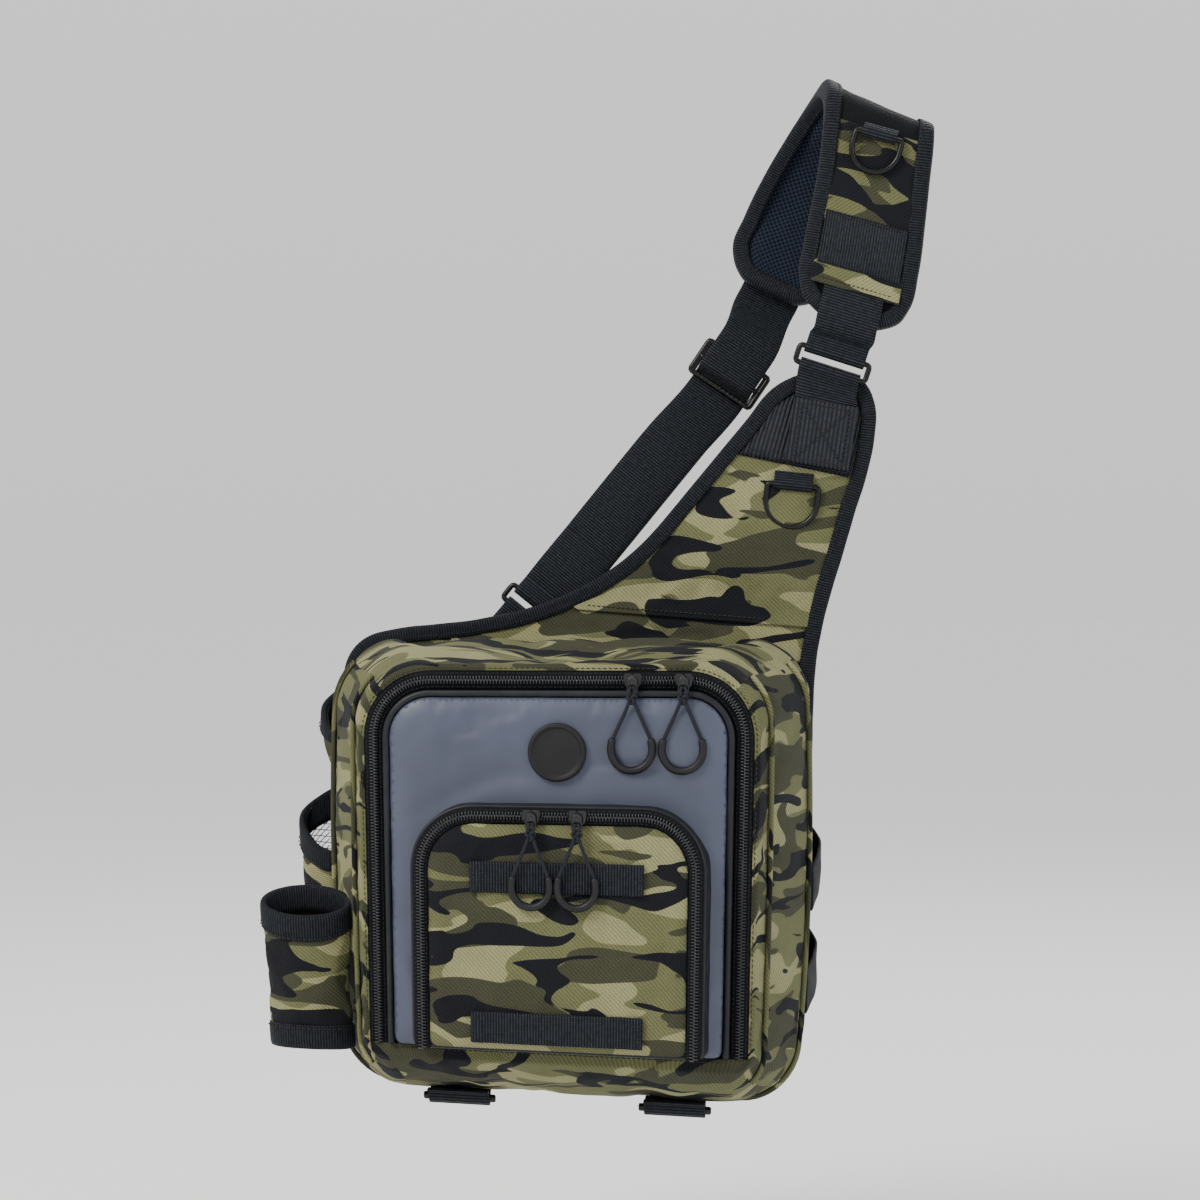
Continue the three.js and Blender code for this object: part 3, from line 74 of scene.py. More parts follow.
POCKET_ARCH = {"centre": 3.5, "half": 81.0, "top": 167.0, "radius": 32.0, "low": 31.2}
MAIN_TAPE = 10.6
POCKET_TAPE = 9.0
ZIP_THICKNESS = 1.6
COIL_HALF = 2.5
COIL_PITCH = 1.8
ZIP_BODY_HALF = 1.5
PANEL_FACE_Y = BAG_FRONT_Y - 6.3
POCKET_BASE_Y = PANEL_FACE_Y - SEAM_GAP
POCKET_FRONT_Y = POCKET_BASE_Y - 15.5
POCKET_TAPE_Y = POCKET_FRONT_Y - SEAM_GAP
POCKET_RIM_Y = POCKET_TAPE_Y - 2.0
POCKET_FACE_Y = POCKET_RIM_Y - 3.4
PANEL_FRONT_Y = BAG_BACK_Y + SEAM_GAP
PANEL_BACK_Y = PANEL_FRONT_Y + PANEL_THICKNESS
RING_WIRE = 1.75
RING_SPACING = 10.6
RING_INNER = 41.0
WRAP_RADIUS = RING_WIRE + SEAM_GAP + WEBBING_THICKNESS / 2
TAPE_RADIUS = RING_WIRE + SEAM_GAP + TAPE_THICKNESS / 2
SLIDER_BAR = 3.6
SLIDER_SPACING = 11.0
CORD_DIAMETER = 2.1
PULL_LENGTH = 41.0
KNOT_RADIUS = 2.6
PAD_HALF_WIDTH = 36.0
PAD_WALL = 9.0
PAD_COVER_THICKNESS = 1.2
PAD_BINDING_REACH = 1.5
PATCH_THICKNESS = 1.2

RING_STATION = {"place": (158.5, 44.0, 435.5), "tilt": 18.0}
TAB_STATION = {"place": (148.8, 0.0, 371.0), "tilt": 10.0}
STRAP_SLIDER = {"place": (93.0, 97.0, 433.0), "tilt": 34.0}
LOWER_RING = {"place": (-26.0, 66.0, 283.0), "tilt": 39.0}

# The shell's sections from the back panel to the front: depth, side, low, top, cornerTop,
# cornerLow, bow and dip, all shares of the bag's depth, width and height
SHELL_ROWS = np.array((
    (0.00, 0.915, 0.046, 0.953, 0.12, 0.10, 0.000, 0.000),
    (0.17, 0.990, -0.010, 0.968, 0.14, 0.12, 0.010, 0.008),
    (0.39, 0.975, -0.035, 0.955, 0.15, 0.13, 0.012, 0.014),
    (0.65, 0.900, -0.030, 0.942, 0.15, 0.12, 0.008, 0.014),
    (0.86, 0.835, 0.000, 0.930, 0.15, 0.09, 0.003, 0.006),
    (1.00, 0.811, 0.050, 0.918, 0.15, 0.05, 0.000, 0.000),
))
SIDE_PIPING_DEPTH = 0.39
FRONT_PIPING_DEPTH = 0.86

# The pad's middle line from its front end over the fold to its rear end: x, y, z, tilt, across
PAD_ROWS = np.array((
    (168, 46, 461, 17, 0.46), (169.5, 46, 467, 17, 0.78), (171.5, 46, 477, 17, 0.95),
    (176, 46, 500, 16, 1), (181, 46, 530, 16, 0.97), (184.5, 46, 556, 16, 0.95),
    (186.5, 46.4, 577, 17, 0.96), (186.5, 51.5, 587, 21, 0.98), (185, 61.5, 591.5, 24, 1),
    (182.5, 74, 592.5, 27, 1), (178.5, 87, 589, 29, 1), (172, 98, 581, 30, 1),
    (161, 105, 565, 30, 1), (147.5, 108, 543, 28, 1), (134, 107, 517, 26, 0.98),
    (124.5, 105, 498, 26, 0.9), (121, 104, 490, 26, 0.72), (118.8, 103.4, 485, 26, 0.5),
), float)


# Places

def hang(points):
    """The cloth below the hanging line narrows and drops to the right."""
    points = np.array(points, float)
    x = points[..., 0].copy()
    below = np.clip(1 - points[..., 2] / HANG_LINE, 0, 1.1)
    points[..., 0] = x * (1 - HANG_TAPER * below)
    points[..., 2] -= HANG_DROOP * x * below
    return points


def metres(points):
    """Bag millimetres to the frame's metres."""
    return (np.asarray(points, float) - HANG_POINT) / 1000


def hung_metres(points):
    return metres(hang(points))


# Camera: 1.9 m from the bag's middle, 5 degrees to its right, level with its middle

camera_data = bpy.data.cameras.new("photo_camera")
camera_data.sensor_width = 36
camera_data.lens = 95
camera = bpy.data.objects.new("photo_camera", camera_data)
camera.location = (0.0031, -1.9668, -0.2965)
camera.rotation_euler = (math.radians(90), 0, math.radians(5))
scene.collection.objects.link(camera)
scene.camera = camera


# Materials

def linear(code):
    """An sRGB hex colour as linear red, green and blue."""
    parts = [int(code[i:i + 2], 16) / 255 for i in (1, 3, 5)]
    return tuple(p / 12.92 if p <= 0.04045 else ((p + 0.055) / 1.055) ** 2.4 for p in parts) + (1,)


def node(tree, kind, inputs=(), **settings):
    """Adds one shader node with its settings, values and links."""
    made = tree.nodes.new("ShaderNode" + kind)
    for key, value in settings.items():
        setattr(made, key, value)
    for key, value in dict(inputs).items():
        if isinstance(value, bpy.types.NodeSocket):
            tree.links.new(value, made.inputs[key])
        else:
            made.inputs[key].default_value = value
    return made


def new_finish(name):
    """An empty material and its tree."""
    material = bpy.data.materials.new(name)
    material.use_nodes = True
    material.node_tree.nodes.clear()
    return material, material.node_tree


def close_finish(tree, colour, height, rise_mm, sockets, roughness=None):
    """Ends a material: colour and a bump of rise_mm under one principled shader."""
    bump = node(tree, "Bump", {"Height": height, "Distance": rise_mm / 1000, "Strength": 1.0})
    shader = node(tree, "BsdfPrincipled", {"Base Color": colour, "Normal": bump.outputs[0], **sockets})
    if roughness is not None:
        tree.links.new(roughness, shader.inputs["Roughness"])
    node(tree, "OutputMaterial", {"Surface": shader.outputs[0]})


def cloth_places(tree):
    """The cloth's own millimetres: u across and v along the piece, from its UV map."""
    spot = node(tree, "UVMap", uv_map="cloth_mm").outputs[0]
    parts = node(tree, "SeparateXYZ", {0: spot})
    return spot, parts.outputs[0], parts.outputs[1]


def ridged(tree, value, pitch):
    """Rounded ribs, 0 to 1, one for each pitch of value."""
    phase = node(tree, "Math", {0: value, 1: math.pi / pitch}, operation="MULTIPLY")
    wave = node(tree, "Math", {0: phase.outputs[0]}, operation="SINE")
    return node(tree, "Math", {0: wave.outputs[0]}, operation="ABSOLUTE").outputs[0]


def printed_polyester(name, offset, bare_of_black=0.592):
    """Woven polyester printed with a four-colour camouflage: dull and soft, its weave just visible.

    offset picks the place on the roll, bare_of_black how much of the cloth the black leaves bare.
    """
    material, tree = new_finish(name)
    spot, u, v = cloth_places(tree)
    colour = linear("#93926a")
    layers = (
        # blotch width and height in mm, how much of the cloth is bare of it, ragged edge, colour
        (92, 36, 0.475, 0.5, "#6b6d4a"),
        (84, 30, 0.545, 0.6, "#424332"),
        (80, 25, bare_of_black, 0.75, "#15161c"),
    )
    previous = None
    for k, (wide, high, bare, ragged, code) in enumerate(layers):
        place = node(tree, "Mapping", {
            0: spot,
            1: (offset + 3.7 * k, 1.9 * offset + 5.3 * k, 0),
            2: (0, 0, math.radians(-7 + 6 * k)),
            3: (1.0 / wide, 1.0 / high, 1),
        }, vector_type="POINT")
        blotch = node(tree, "TexNoise", {
            "Vector": place.outputs[0], "Scale": 1.5, "Detail": 1.0, "Roughness": 0.4,
            "Distortion": ragged,
        }, noise_dimensions="2D")
        edge = node(tree, "MapRange", {
            0: blotch.outputs[0], 1: bare - 0.004, 2: bare + 0.004, 3: 0.0, 4: 1.0,
        })
        ink = node(tree, "Mix", {
            0: edge.outputs[0], 6: colour if previous is None else previous, 7: linear(code),
        }, data_type="RGBA")
        previous = ink.outputs[2]
    # 600 denier yarns lie 0.6 mm apart, too fine to show. They are drawn on two slants,
    # 2.6 and 1.5 mm apart across the cloth
    rising = node(tree, "Math", {0: u, 1: v}, operation="ADD")
    falling = node(tree, "Math", {0: u, 1: v}, operation="SUBTRACT")
    warp = ridged(tree, rising.outputs[0], 2.6)
    weft = ridged(tree, falling.outputs[0], 1.5)
    yarns = node(tree, "Math", {0: warp, 1: weft}, operation="MULTIPLY")
    uneven = node(tree, "TexNoise", {"Vector": spot, "Scale": 0.06, "Detail": 3.0}, noise_dimensions="2D")
    shade = node(tree, "Math", {0: yarns.outputs[0], 1: 0.62, 2: 0.5}, operation="MULTIPLY_ADD")
    worn = node(tree, "Math", {0: uneven.outputs[0], 1: 0.3, 2: 0.85}, operation="MULTIPLY_ADD")
    light = node(tree, "Math", {0: shade.outputs[0], 1: worn.outputs[0]}, operation="MULTIPLY")
    lit = node(tree, "Mix", {
        0: 1.0, 6: previous, 7: light.outputs[0],
    }, data_type="RGBA", blend_type="MULTIPLY")
    close_finish(tree, lit.outputs[2], yarns.outputs[0], 0.35, {
        "Roughness": 0.85, "IOR": 1.5, "Specular IOR Level": 0.16, "Sheen Weight": 0.02, "Sheen Roughness": 0.5,
    })
    return material


def ribbed_polyester(name, dark, pale, pitch, rise_mm, roughness, shine=0.2):
    """Black woven polyester tape with ribs across it; the rib crests are painted in the pale colour as thin lines of
    painted highlight.
    """
    material, tree = new_finish(name)
    spot, u, v = cloth_places(tree)
    ribs = ridged(tree, v, pitch)
    yarn = ridged(tree, u, 1.3)
    woven = node(tree, "Math", {0: yarn, 1: 0.3, 2: 0.7}, operation="MULTIPLY_ADD")
    height = node(tree, "Math", {0: ribs, 1: woven.outputs[0]}, operation="MULTIPLY")
    # The pale colour follows the rib crests: a painted highlight, broken up by noise
    lift = node(tree, "Math", {0: height.outputs[0], 1: 3.4}, operation="POWER")
    highlight_breaks = node(tree, "TexNoise", {"Vector": spot, "Scale": 0.35, "Detail": 2.0}, noise_dimensions="2D")
    broken_crest_highlight = node(tree, "Math", {0: lift.outputs[0], 1: highlight_breaks.outputs[0]}, operation="MULTIPLY")
    crest_highlight_mask = node(tree, "Math", {0: broken_crest_highlight.outputs[0], 1: 1.9}, operation="MULTIPLY", use_clamp=True)
    colour = node(tree, "Mix", {0: crest_highlight_mask.outputs[0], 6: linear(dark), 7: linear(pale)}, data_type="RGBA")
    close_finish(tree, colour.outputs[2], height.outputs[0], rise_mm, {
        "Roughness": roughness, "IOR": 1.5, "Specular IOR Level": shine, "Sheen Weight": 0.02, "Sheen Roughness": 0.4,
    })
    return material


def coated_polyester(name):
    """Polyester with a smooth polyurethane face: satin, blue-grey and finely grained."""
    material, tree = new_finish(name)
    spot = cloth_places(tree)[0]
    grain = node(tree, "TexNoise", {"Vector": spot, "Scale": 1.1, "Detail": 3.0}, noise_dimensions="2D")
    cloudy = node(tree, "TexNoise", {"Vector": spot, "Scale": 0.022, "Detail": 2.0}, noise_dimensions="2D")
    colour = node(tree, "Mix", {
        0: cloudy.outputs[0], 6: linear("#343947"), 7: linear("#474d5f"),
    }, data_type="RGBA")
    rough = node(tree, "MapRange", {0: grain.outputs[0], 1: 0.3, 2: 0.7, 3: 0.44, 4: 0.54})
    close_finish(tree, colour.outputs[2], grain.outputs[0], 0.05, {
        "IOR": 1.5, "Specular IOR Level": 0.4, "Coat Weight": 0.12, "Coat Roughness": 0.3,
    }, rough.outputs[0])
    return material


def spacer_mesh(name, dark, pale, pitch):
    """Knitted polyester spacer mesh: rows of small round holes in a soft navy face, the holes painted dark as the shade
    inside them.
    """
    material, tree = new_finish(name)
    spot, u, v = cloth_places(tree)
    rising = node(tree, "Math", {0: u, 1: v}, operation="ADD")
    falling = node(tree, "Math", {0: u, 1: v}, operation="SUBTRACT")
    one = ridged(tree, rising.outputs[0], pitch)
    other = ridged(tree, falling.outputs[0], pitch)
    hollow = node(tree, "Math", {0: one, 1: other}, operation="MULTIPLY")
    knit = node(tree, "Math", {0: 1.0, 1: hollow.outputs[0]}, operation="SUBTRACT")
    fuzz = node(tree, "TexNoise", {"Vector": spot, "Scale": 0.9, "Detail": 3.0}, noise_dimensions="2D")
    soft = node(tree, "Math", {0: fuzz.outputs[0], 1: 0.35, 2: knit.outputs[0]}, operation="MULTIPLY_ADD")
    # The holes take the dark colour: painted shade inside them
    face = node(tree, "MapRange", {0: knit.outputs[0], 1: 0.25, 2: 0.85, 3: 0.0, 4: 1.0})
    colour = node(tree, "Mix", {0: face.outputs[0], 6: linear(dark), 7: linear(pale)}, data_type="RGBA")
    close_finish(tree, colour.outputs[2], soft.outputs[0], 0.7, {
        "Roughness": 0.9, "IOR": 1.5, "Specular IOR Level": 0.12, "Sheen Weight": 0.04, "Sheen Roughness": 0.5,
    })
    return material


def moulded(name, code, roughness, grain_mm, rise_mm, ior=1.48, shine=0.3, coat=0.0):
    """Smooth moulded or enamelled stuff with a fine orange-peel grain and faint wear."""
    material, tree = new_finish(name)
    spot = node(tree, "TexCoord").outputs["Object"]
    grain = node(tree, "TexNoise", {"Vector": spot, "Scale": 1000 / grain_mm, "Detail": 2.0})
    worn = node(tree, "TexNoise", {"Vector": spot, "Scale": 90.0, "Detail": 4.0})
    pale = tuple(min(1, c * 1.9 + 0.004) for c in linear(code)[:3]) + (1,)
    edge = node(tree, "MapRange", {0: worn.outputs[0], 1: 0.45, 2: 0.75, 3: 0.0, 4: 0.6})
    colour = node(tree, "Mix", {0: edge.outputs[0], 6: linear(code), 7: pale}, data_type="RGBA")
    rough = node(tree, "MapRange", {
        0: worn.outputs[0], 1: 0.3, 2: 0.7, 3: roughness - 0.05, 4: roughness + 0.07,
    })
    close_finish(tree, colour.outputs[2], grain.outputs[0], rise_mm, {
        "IOR": ior, "Specular IOR Level": shine, "Coat Weight": coat, "Coat Roughness": 0.2,
    }, rough.outputs[0])
    return material


def braided_polyester(name, dark, pale):
    """Braided polyester: strands that cross on a slant, 1.65 mm apart along the cord so that they show; their crests
    are painted pale as painted highlight and the grooves dark as painted shade.
    """
    material, tree = new_finish(name)
    _, u, v = cloth_places(tree)
    rising = node(tree, "Math", {0: v, 1: u}, operation="ADD")
    falling = node(tree, "Math", {0: v, 1: u}, operation="SUBTRACT")
    one = ridged(tree, rising.outputs[0], 1.65)
    other = ridged(tree, falling.outputs[0], 1.65)
    strands = node(tree, "Math", {0: one, 1: other}, operation="MAXIMUM")
    # Pale on the strand crests, dark between them: painted highlight and painted shade
    colour = node(tree, "Mix", {
        0: strands.outputs[0], 6: linear(dark), 7: linear(pale),
    }, data_type="RGBA")
    close_finish(tree, colour.outputs[2], strands.outputs[0], 0.25, {
        "Roughness": 0.6, "IOR": 1.5, "Specular IOR Level": 0.2, "Sheen Weight": 0.02,
    })
    return material


# The cloth of the bag: the same print, cut from other places of the roll for each panel
camo_gusset = printed_polyester("woven_polyester_camo_gusset", 1.3)
camo_wing = printed_polyester("woven_polyester_camo_wing", 4.1, bare_of_black=0.635)
camo_pocket = printed_polyester("woven_polyester_camo_pocket", 7.9)
camo_trim = printed_polyester("woven_polyester_camo_trim", 2.6)
# The pad's cover: more of the black print, partly painted shade, as the cover lies in shadow
camo_pad_print_and_shade = printed_polyester("woven_polyester_camo_pad", 5.7, bare_of_black=0.5)
# Grosgrain: narrow woven tape with ribs across, bound over every edge, ribs 1.6 mm apart
grosgrain = ribbed_polyester("woven_polyester_grosgrain", "#020305", "#282d36", 1.6, 0.35, 0.62, 0.14)
# Webbing: heavy woven polyester, ribs 1.7 mm apart, a slight shine
strap_webbing = ribbed_polyester("woven_polyester_webbing", "#020305", "#2a303a", 1.7, 0.4, 0.55, 0.16)
# The patch on the wing: wide webbing whose ribs run along the strap, with a broken painted highlight on each
patch_webbing = ribbed_polyester("woven_polyester_wide_webbing", "#020305", "#2a303c", 2.6, 0.5, 0.5, 0.2)
# Twill tape of a zip: finely woven, flat and dull
zip_tape = ribbed_polyester("woven_polyester_zip_tape", "#050609", "#0e1015", 0.9, 0.12, 0.75, 0.14)
coated = coated_polyester("polyurethane_coated_polyester")
# Black coated cloth, smooth and a little shiny, round the cords of the piping
coated_piping = moulded("polyurethane_coated_piping", "#111318", 0.46, 0.7, 0.06)
pad_mesh = spacer_mesh("knitted_polyester_spacer_mesh", "#05070d", "#202737", 3.4)
back_mesh = spacer_mesh("knitted_polyester_back_mesh", "#020305", "#14171f", 4.2)
# Nylon coil: extruded monofilament wound into teeth, black with small bright glints
nylon_coil = moulded("extruded_nylon_coil", "#0e1014", 0.3, 0.6, 0.02, 1.53, 0.6)
# Acetal: injection moulded rings and sliders, satin black with soft long highlights
acetal = moulded("moulded_acetal", "#040506", 0.3, 0.5, 0.02)
# Zinc: die-cast zip sliders under black enamel, darker and glossier than the plastic
enamelled_zinc = moulded("die_cast_zinc_black_enamel", "#050608", 0.26, 0.8, 0.02, 1.5, 0.4, 0.3)
# Soft PVC: moulded grips and badge, dull with a grey bloom
soft_pvc = moulded("moulded_soft_pvc", "#0a0b0f", 0.5, 0.5, 0.03, 1.52)
badge_pvc = moulded("moulded_pvc_badge", "#08090c", 0.55, 0.6, 0.05, 1.52)
pull_cord_braid = braided_polyester("braided_polyester_cord", "#050608", "#1a1d24")
# Thread: twisted polyester, a thin raised line
black_thread = moulded("twisted_polyester_thread_black", "#14171e", 0.6, 0.4, 0.02)
olive_thread = moulded("twisted_polyester_thread_olive", "#26261a", 0.65, 0.4, 0.02)
# Net: knitted polyester monofilament
net_yarn = moulded("knitted_polyester_net", "#0f1116", 0.6, 0.5, 0.02)


# Meshes

def lengths(points, axis):
    """Running length of a grid of points along an axis, in millimetres."""
    steps = np.linalg.norm(np.diff(points, axis=axis), axis=2)
    pad = [(0, 0), (0, 0)]
    pad[axis] = (1, 0)
    return np.cumsum(np.pad(steps, pad), axis=axis)


def make_piece(name, points, faces, uvs, finish, slot, hung=True, nodes=(), body="bag"):
    """One piece from its points, faces and the cloth place of each face corner, both in mm."""
    if name in bpy.data.objects:
        name += "_sewn" if slot != "plastic" else "_moulded"
    mesh = bpy.data.meshes.new(name)
    placed = hung_metres(points) if hung else metres(points)
    mesh.from_pydata(placed.tolist(), [], faces)
    layer = mesh.uv_layers.new(name="cloth_mm")
    layer.data.foreach_set("uv", np.asarray(uvs, np.float32).ravel())
    mesh.materials.append(finish)
    mesh.polygons.foreach_set("use_smooth", [True] * len(mesh.polygons))
    mesh.update()
    piece = bpy.data.objects.new(name, mesh)
    scene.collection.objects.link(piece)
    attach(piece, body)
    if nodes:
        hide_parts(*nodes)
    return piece


def grid_faces(rows, columns, close_rows, close_columns):
    """Faces of a grid of points, and for each corner its row and column before wrapping."""
    faces = []
    corners = []
    for i in range(rows if close_rows else rows - 1):
        for k in range(columns if close_columns else columns - 1):
            spots = ((i, k), (i, k + 1), (i + 1, k + 1), (i + 1, k))
            faces.append([(a % rows) * columns + b % columns for a, b in spots])
            corners.extend(spots)
    return faces, np.array(corners)


def grid_piece(name, points, finish, slot, close_rows=False, close_columns=False, caps=False,
               shift=(0, 0), turn=False, **rest):
    """A piece from a grid of points. Rows run along the piece, columns across it."""
    points = np.asarray(points, float)
    rows, columns = points.shape[:2]
    faces, corners = grid_faces(rows, columns, close_rows, close_columns)
    wrapped = points
    if close_columns:
        wrapped = np.concatenate([wrapped, wrapped[:, :1]], axis=1)
    if close_rows:
        wrapped = np.concatenate([wrapped, wrapped[:1]], axis=0)
    along = lengths(wrapped, 0).mean(axis=1)
    across = lengths(wrapped, 1).mean(axis=0)
    u = across[corners[:, 1]] + shift[0]
    v = along[corners[:, 0]] + shift[1]
    uvs = np.stack([v, u] if turn else [u, v], axis=1)
    if caps:
        for i in (0, rows - 1):
            loop = [i * columns + k for k in range(columns)]
            faces.append(loop[::-1] if i == 0 else loop)
            flat = points[i] - points[i][0]
            uvs = np.vstack([uvs, flat[::-1, (0, 2)] if i == 0 else flat[:, (0, 2)]])
    piece = make_piece(name, points.reshape(-1, 3), faces, uvs, finish, slot, **rest)
    return piece


def face_outward(piece):
    """Turns the faces of a closed piece outward."""
    work = bmesh.new()
    work.from_mesh(piece.data)
    bmesh.ops.recalc_face_normals(work, faces=work.faces)
    work.to_mesh(piece.data)
    work.free()
    return piece


def closed_piece(name, points, finish, slot, **rest):
    """A tube or strap from a grid of points, closed at both ends."""
    return face_outward(grid_piece(name, points, finish, slot, close_columns=True, caps=True, **rest))


def join_pieces(name, parts):
    """Several pieces with one finish as one piece that keeps the first one's name and body."""
    bpy.ops.object.select_all(action="DESELECT")
    for part in parts:
        part.select_set(True)
    bpy.context.view_layer.objects.active = parts[0]
    bpy.ops.object.join()
    parts[0].name = name
    return parts[0]


# Lines: lists of points in the front view (x, z) or in space

def arc(centre_x, centre_z, radius, start, end, steps):
    angles = np.radians(np.linspace(start, end, steps + 1))
    return np.stack([centre_x + radius * np.cos(angles), centre_z + radius * np.sin(angles)], axis=1)


def rounded_box(half, high, corner):
    """A rounded rectangle about the middle, clockwise from its lower left corner."""
    return np.vstack([
        arc(-half + corner, -high + corner, corner, 270, 180, 6),
        arc(-half + corner, high - corner, corner, 180, 90, 6),
        arc(half - corner, high - corner, corner, 90, 0, 6),
        arc(half - corner, -high + corner, corner, 0, -90, 6),
    ])


def at_y(outline, y):
    """A flat outline (x, z) in space, at a depth."""
    return np.stack([outline[:, 0], np.full(len(outline), y), outline[:, 1]], axis=1)


def even(line, step, closed=False):
    """The same line with its points evenly spaced, about step apart."""
    line = np.asarray(line, float)
    if closed:
        line = np.vstack([line, line[:1]])
    run = np.concatenate([[0], np.cumsum(np.linalg.norm(np.diff(line[:, :3], axis=0), axis=1))])
    keep = np.concatenate([[True], np.diff(run) > 1e-6])
    line, run = line[keep], run[keep]
    count = max(2, int(round(run[-1] / step)) + 1)
    spots = np.linspace(0, run[-1], count)
    made = np.stack([np.interp(spots, run, line[:, k]) for k in range(line.shape[1])], axis=1)
    return made[:-1] if closed else made


def smooth(rows, step):
    """Evenly spaced rows on a smooth curve through the given rows, whose first three are a place."""
    rows = np.asarray(rows, float)
    gaps = np.maximum(np.linalg.norm(np.diff(rows[:, :3], axis=0), axis=1), 1e-6)
    slopes = np.diff(rows, axis=0) / gaps[:, None]
    tangents = np.empty_like(rows)
    tangents[0], tangents[-1] = slopes[0], slopes[-1]
    before, after = gaps[:-1, None], gaps[1:, None]
    tangents[1:-1] = (slopes[:-1] * after + slopes[1:] * before) / (before + after)
    pieces = []
    for i, gap in enumerate(gaps):
        s = np.linspace(0, 1, max(4, int(gap / step * 2) + 2))[:-1, None]
        pieces.append(
            (2 * s ** 3 - 3 * s ** 2 + 1) * rows[i] + (s ** 3 - 2 * s ** 2 + s) * gap * tangents[i]
            + (3 * s ** 2 - 2 * s ** 3) * rows[i + 1] + (s ** 3 - s ** 2) * gap * tangents[i + 1]
        )
    return even(np.vstack(pieces + [rows[-1:]]), step)


def grown(outline, distance, closed=True):
    """Moves a flat outline outward, to the left of its run, with mitred corners."""
    outline = np.asarray(outline, float)
    before = np.roll(outline, 1, axis=0)
    after = np.roll(outline, -1, axis=0)
    first = outline - before
    second = after - outline
    if not closed:
        first[0] = second[0]
        second[-1] = first[-1]
    first /= np.linalg.norm(first, axis=1)[:, None]
    second /= np.linalg.norm(second, axis=1)[:, None]
    normal = np.stack([-first[:, 1] - second[:, 1], first[:, 0] + second[:, 0]], axis=1)
    normal /= (1 + np.sum(first * second, axis=1))[:, None]
    return outline + normal * np.broadcast_to(np.asarray(distance, float), (len(outline),))[:, None]


def arch_line(arch, steps=16):
    """An upside-down U, clockwise from its left foot."""
    left, right = arch["centre"] - arch["half"], arch["centre"] + arch["half"]
    top, radius = arch["top"], arch["radius"]
    return np.vstack([
        [(left, arch["low"])],
        arc(left + radius, top - radius, radius, 180, 90, steps),
        arc(right - radius, top - radius, radius, 90, 0, steps),
        [(right, arch["low"])],
    ])


def arch_loop(arch, corner=3.0, steps=16):
    left, right = arch["centre"] - arch["half"], arch["centre"] + arch["half"]
    return np.vstack([
        arc(left + corner, arch["low"] + corner, corner, 270, 180, 4),
        arch_line(arch, steps)[1:-1],
        arc(right - corner, arch["low"] + corner, corner, 0, -90, 4),
    ])


def narrowed(arch, inset):
    return {**arch, "half": arch["half"] - inset, "top": arch["top"] - inset, "radius": arch["radius"] - inset}


def sweep(outline, section, closed):
    """A grid of points: a section, rows of (out, y), at each point of a flat outline."""
    section = np.asarray(section, float)
    rings = []
    for out, y in section:
        side = grown(outline, out, closed)
        rings.append(np.stack([side[:, 0], np.full(len(side), y), side[:, 1]], axis=1))
    return np.stack(rings, axis=1)


def tube_points(line, radius, sides=10, flat=1.0, closed=False):
    """A grid of points round a line in space. radius may be one for each point."""
    line = np.asarray(line, float)
    if closed:
        along = np.roll(line, -1, axis=0) - np.roll(line, 1, axis=0)
    else:
        along = np.gradient(line, axis=0)
    along /= np.maximum(np.linalg.norm(along, axis=1), 1e-9)[:, None]
    across = np.cross(along, (0, 1, 0))
    weak = np.linalg.norm(across, axis=1) < 0.2
    across[weak] = np.cross(along[weak], (1, 0, 0))
    across /= np.linalg.norm(across, axis=1)[:, None]
    up = np.cross(along, across)
    angles = 2 * np.pi * np.arange(sides) / sides
    radius = np.broadcast_to(np.asarray(radius, float), (len(line),))[:, None, None]
    ring = np.cos(angles)[None, :, None] * across[:, None] + flat * np.sin(angles)[None, :, None] * up[:, None]
    return line[:, None] + radius * ring


def filled(outline, spacing, also=()):
    """Points and triangles that fill a closed flat outline, and each point's distance to its edge."""
    outline = np.asarray(outline, float)
    count = len(outline)
    low, high = outline.min(axis=0), outline.max(axis=0)
    xs = np.arange(low[0] + spacing / 2, high[0], spacing)
    zs = np.arange(low[1] + spacing / 2, high[1], spacing * 0.866)
    spots = np.array([(x + (k % 2) * spacing / 2, z) for k, z in enumerate(zs) for x in xs])
    after = np.roll(outline, -1, axis=0)

    def edge_distance(points):
        best = np.full(len(points), np.inf)
        for a, b in zip(outline, after):
            run = b - a
            share = np.clip(((points - a) @ run) / max(run @ run, 1e-9), 0, 1)
            best = np.minimum(best, np.linalg.norm(points - (a + share[:, None] * run), axis=1))
        return best

    inside = np.zeros(len(spots), bool)
    for a, b in zip(outline, after):
        crosses = (a[1] > spots[:, 1]) != (b[1] > spots[:, 1])
        height = np.where(abs(b[1] - a[1]) < 1e-9, 1e-9, b[1] - a[1])
        inside ^= crosses & (spots[:, 0] < (b[0] - a[0]) * (spots[:, 1] - a[1]) / height + a[0])
    spots = spots[inside]
    spots = spots[edge_distance(spots) > 0.55 * spacing]
    if len(also):
        spots = np.vstack([spots[nearest(spots, also) > 0.45 * spacing], also])
    everything = [Vector(p) for p in np.vstack([outline, spots]).tolist()]
    edges = [(k, (k + 1) % count) for k in range(count)]
    points, _, triangles, _, _, _ = delaunay_2d_cdt(everything, edges, [], 1, 1e-5)
    points = np.array([tuple(p) for p in points])
    return points, [list(t) for t in triangles], edge_distance(points)


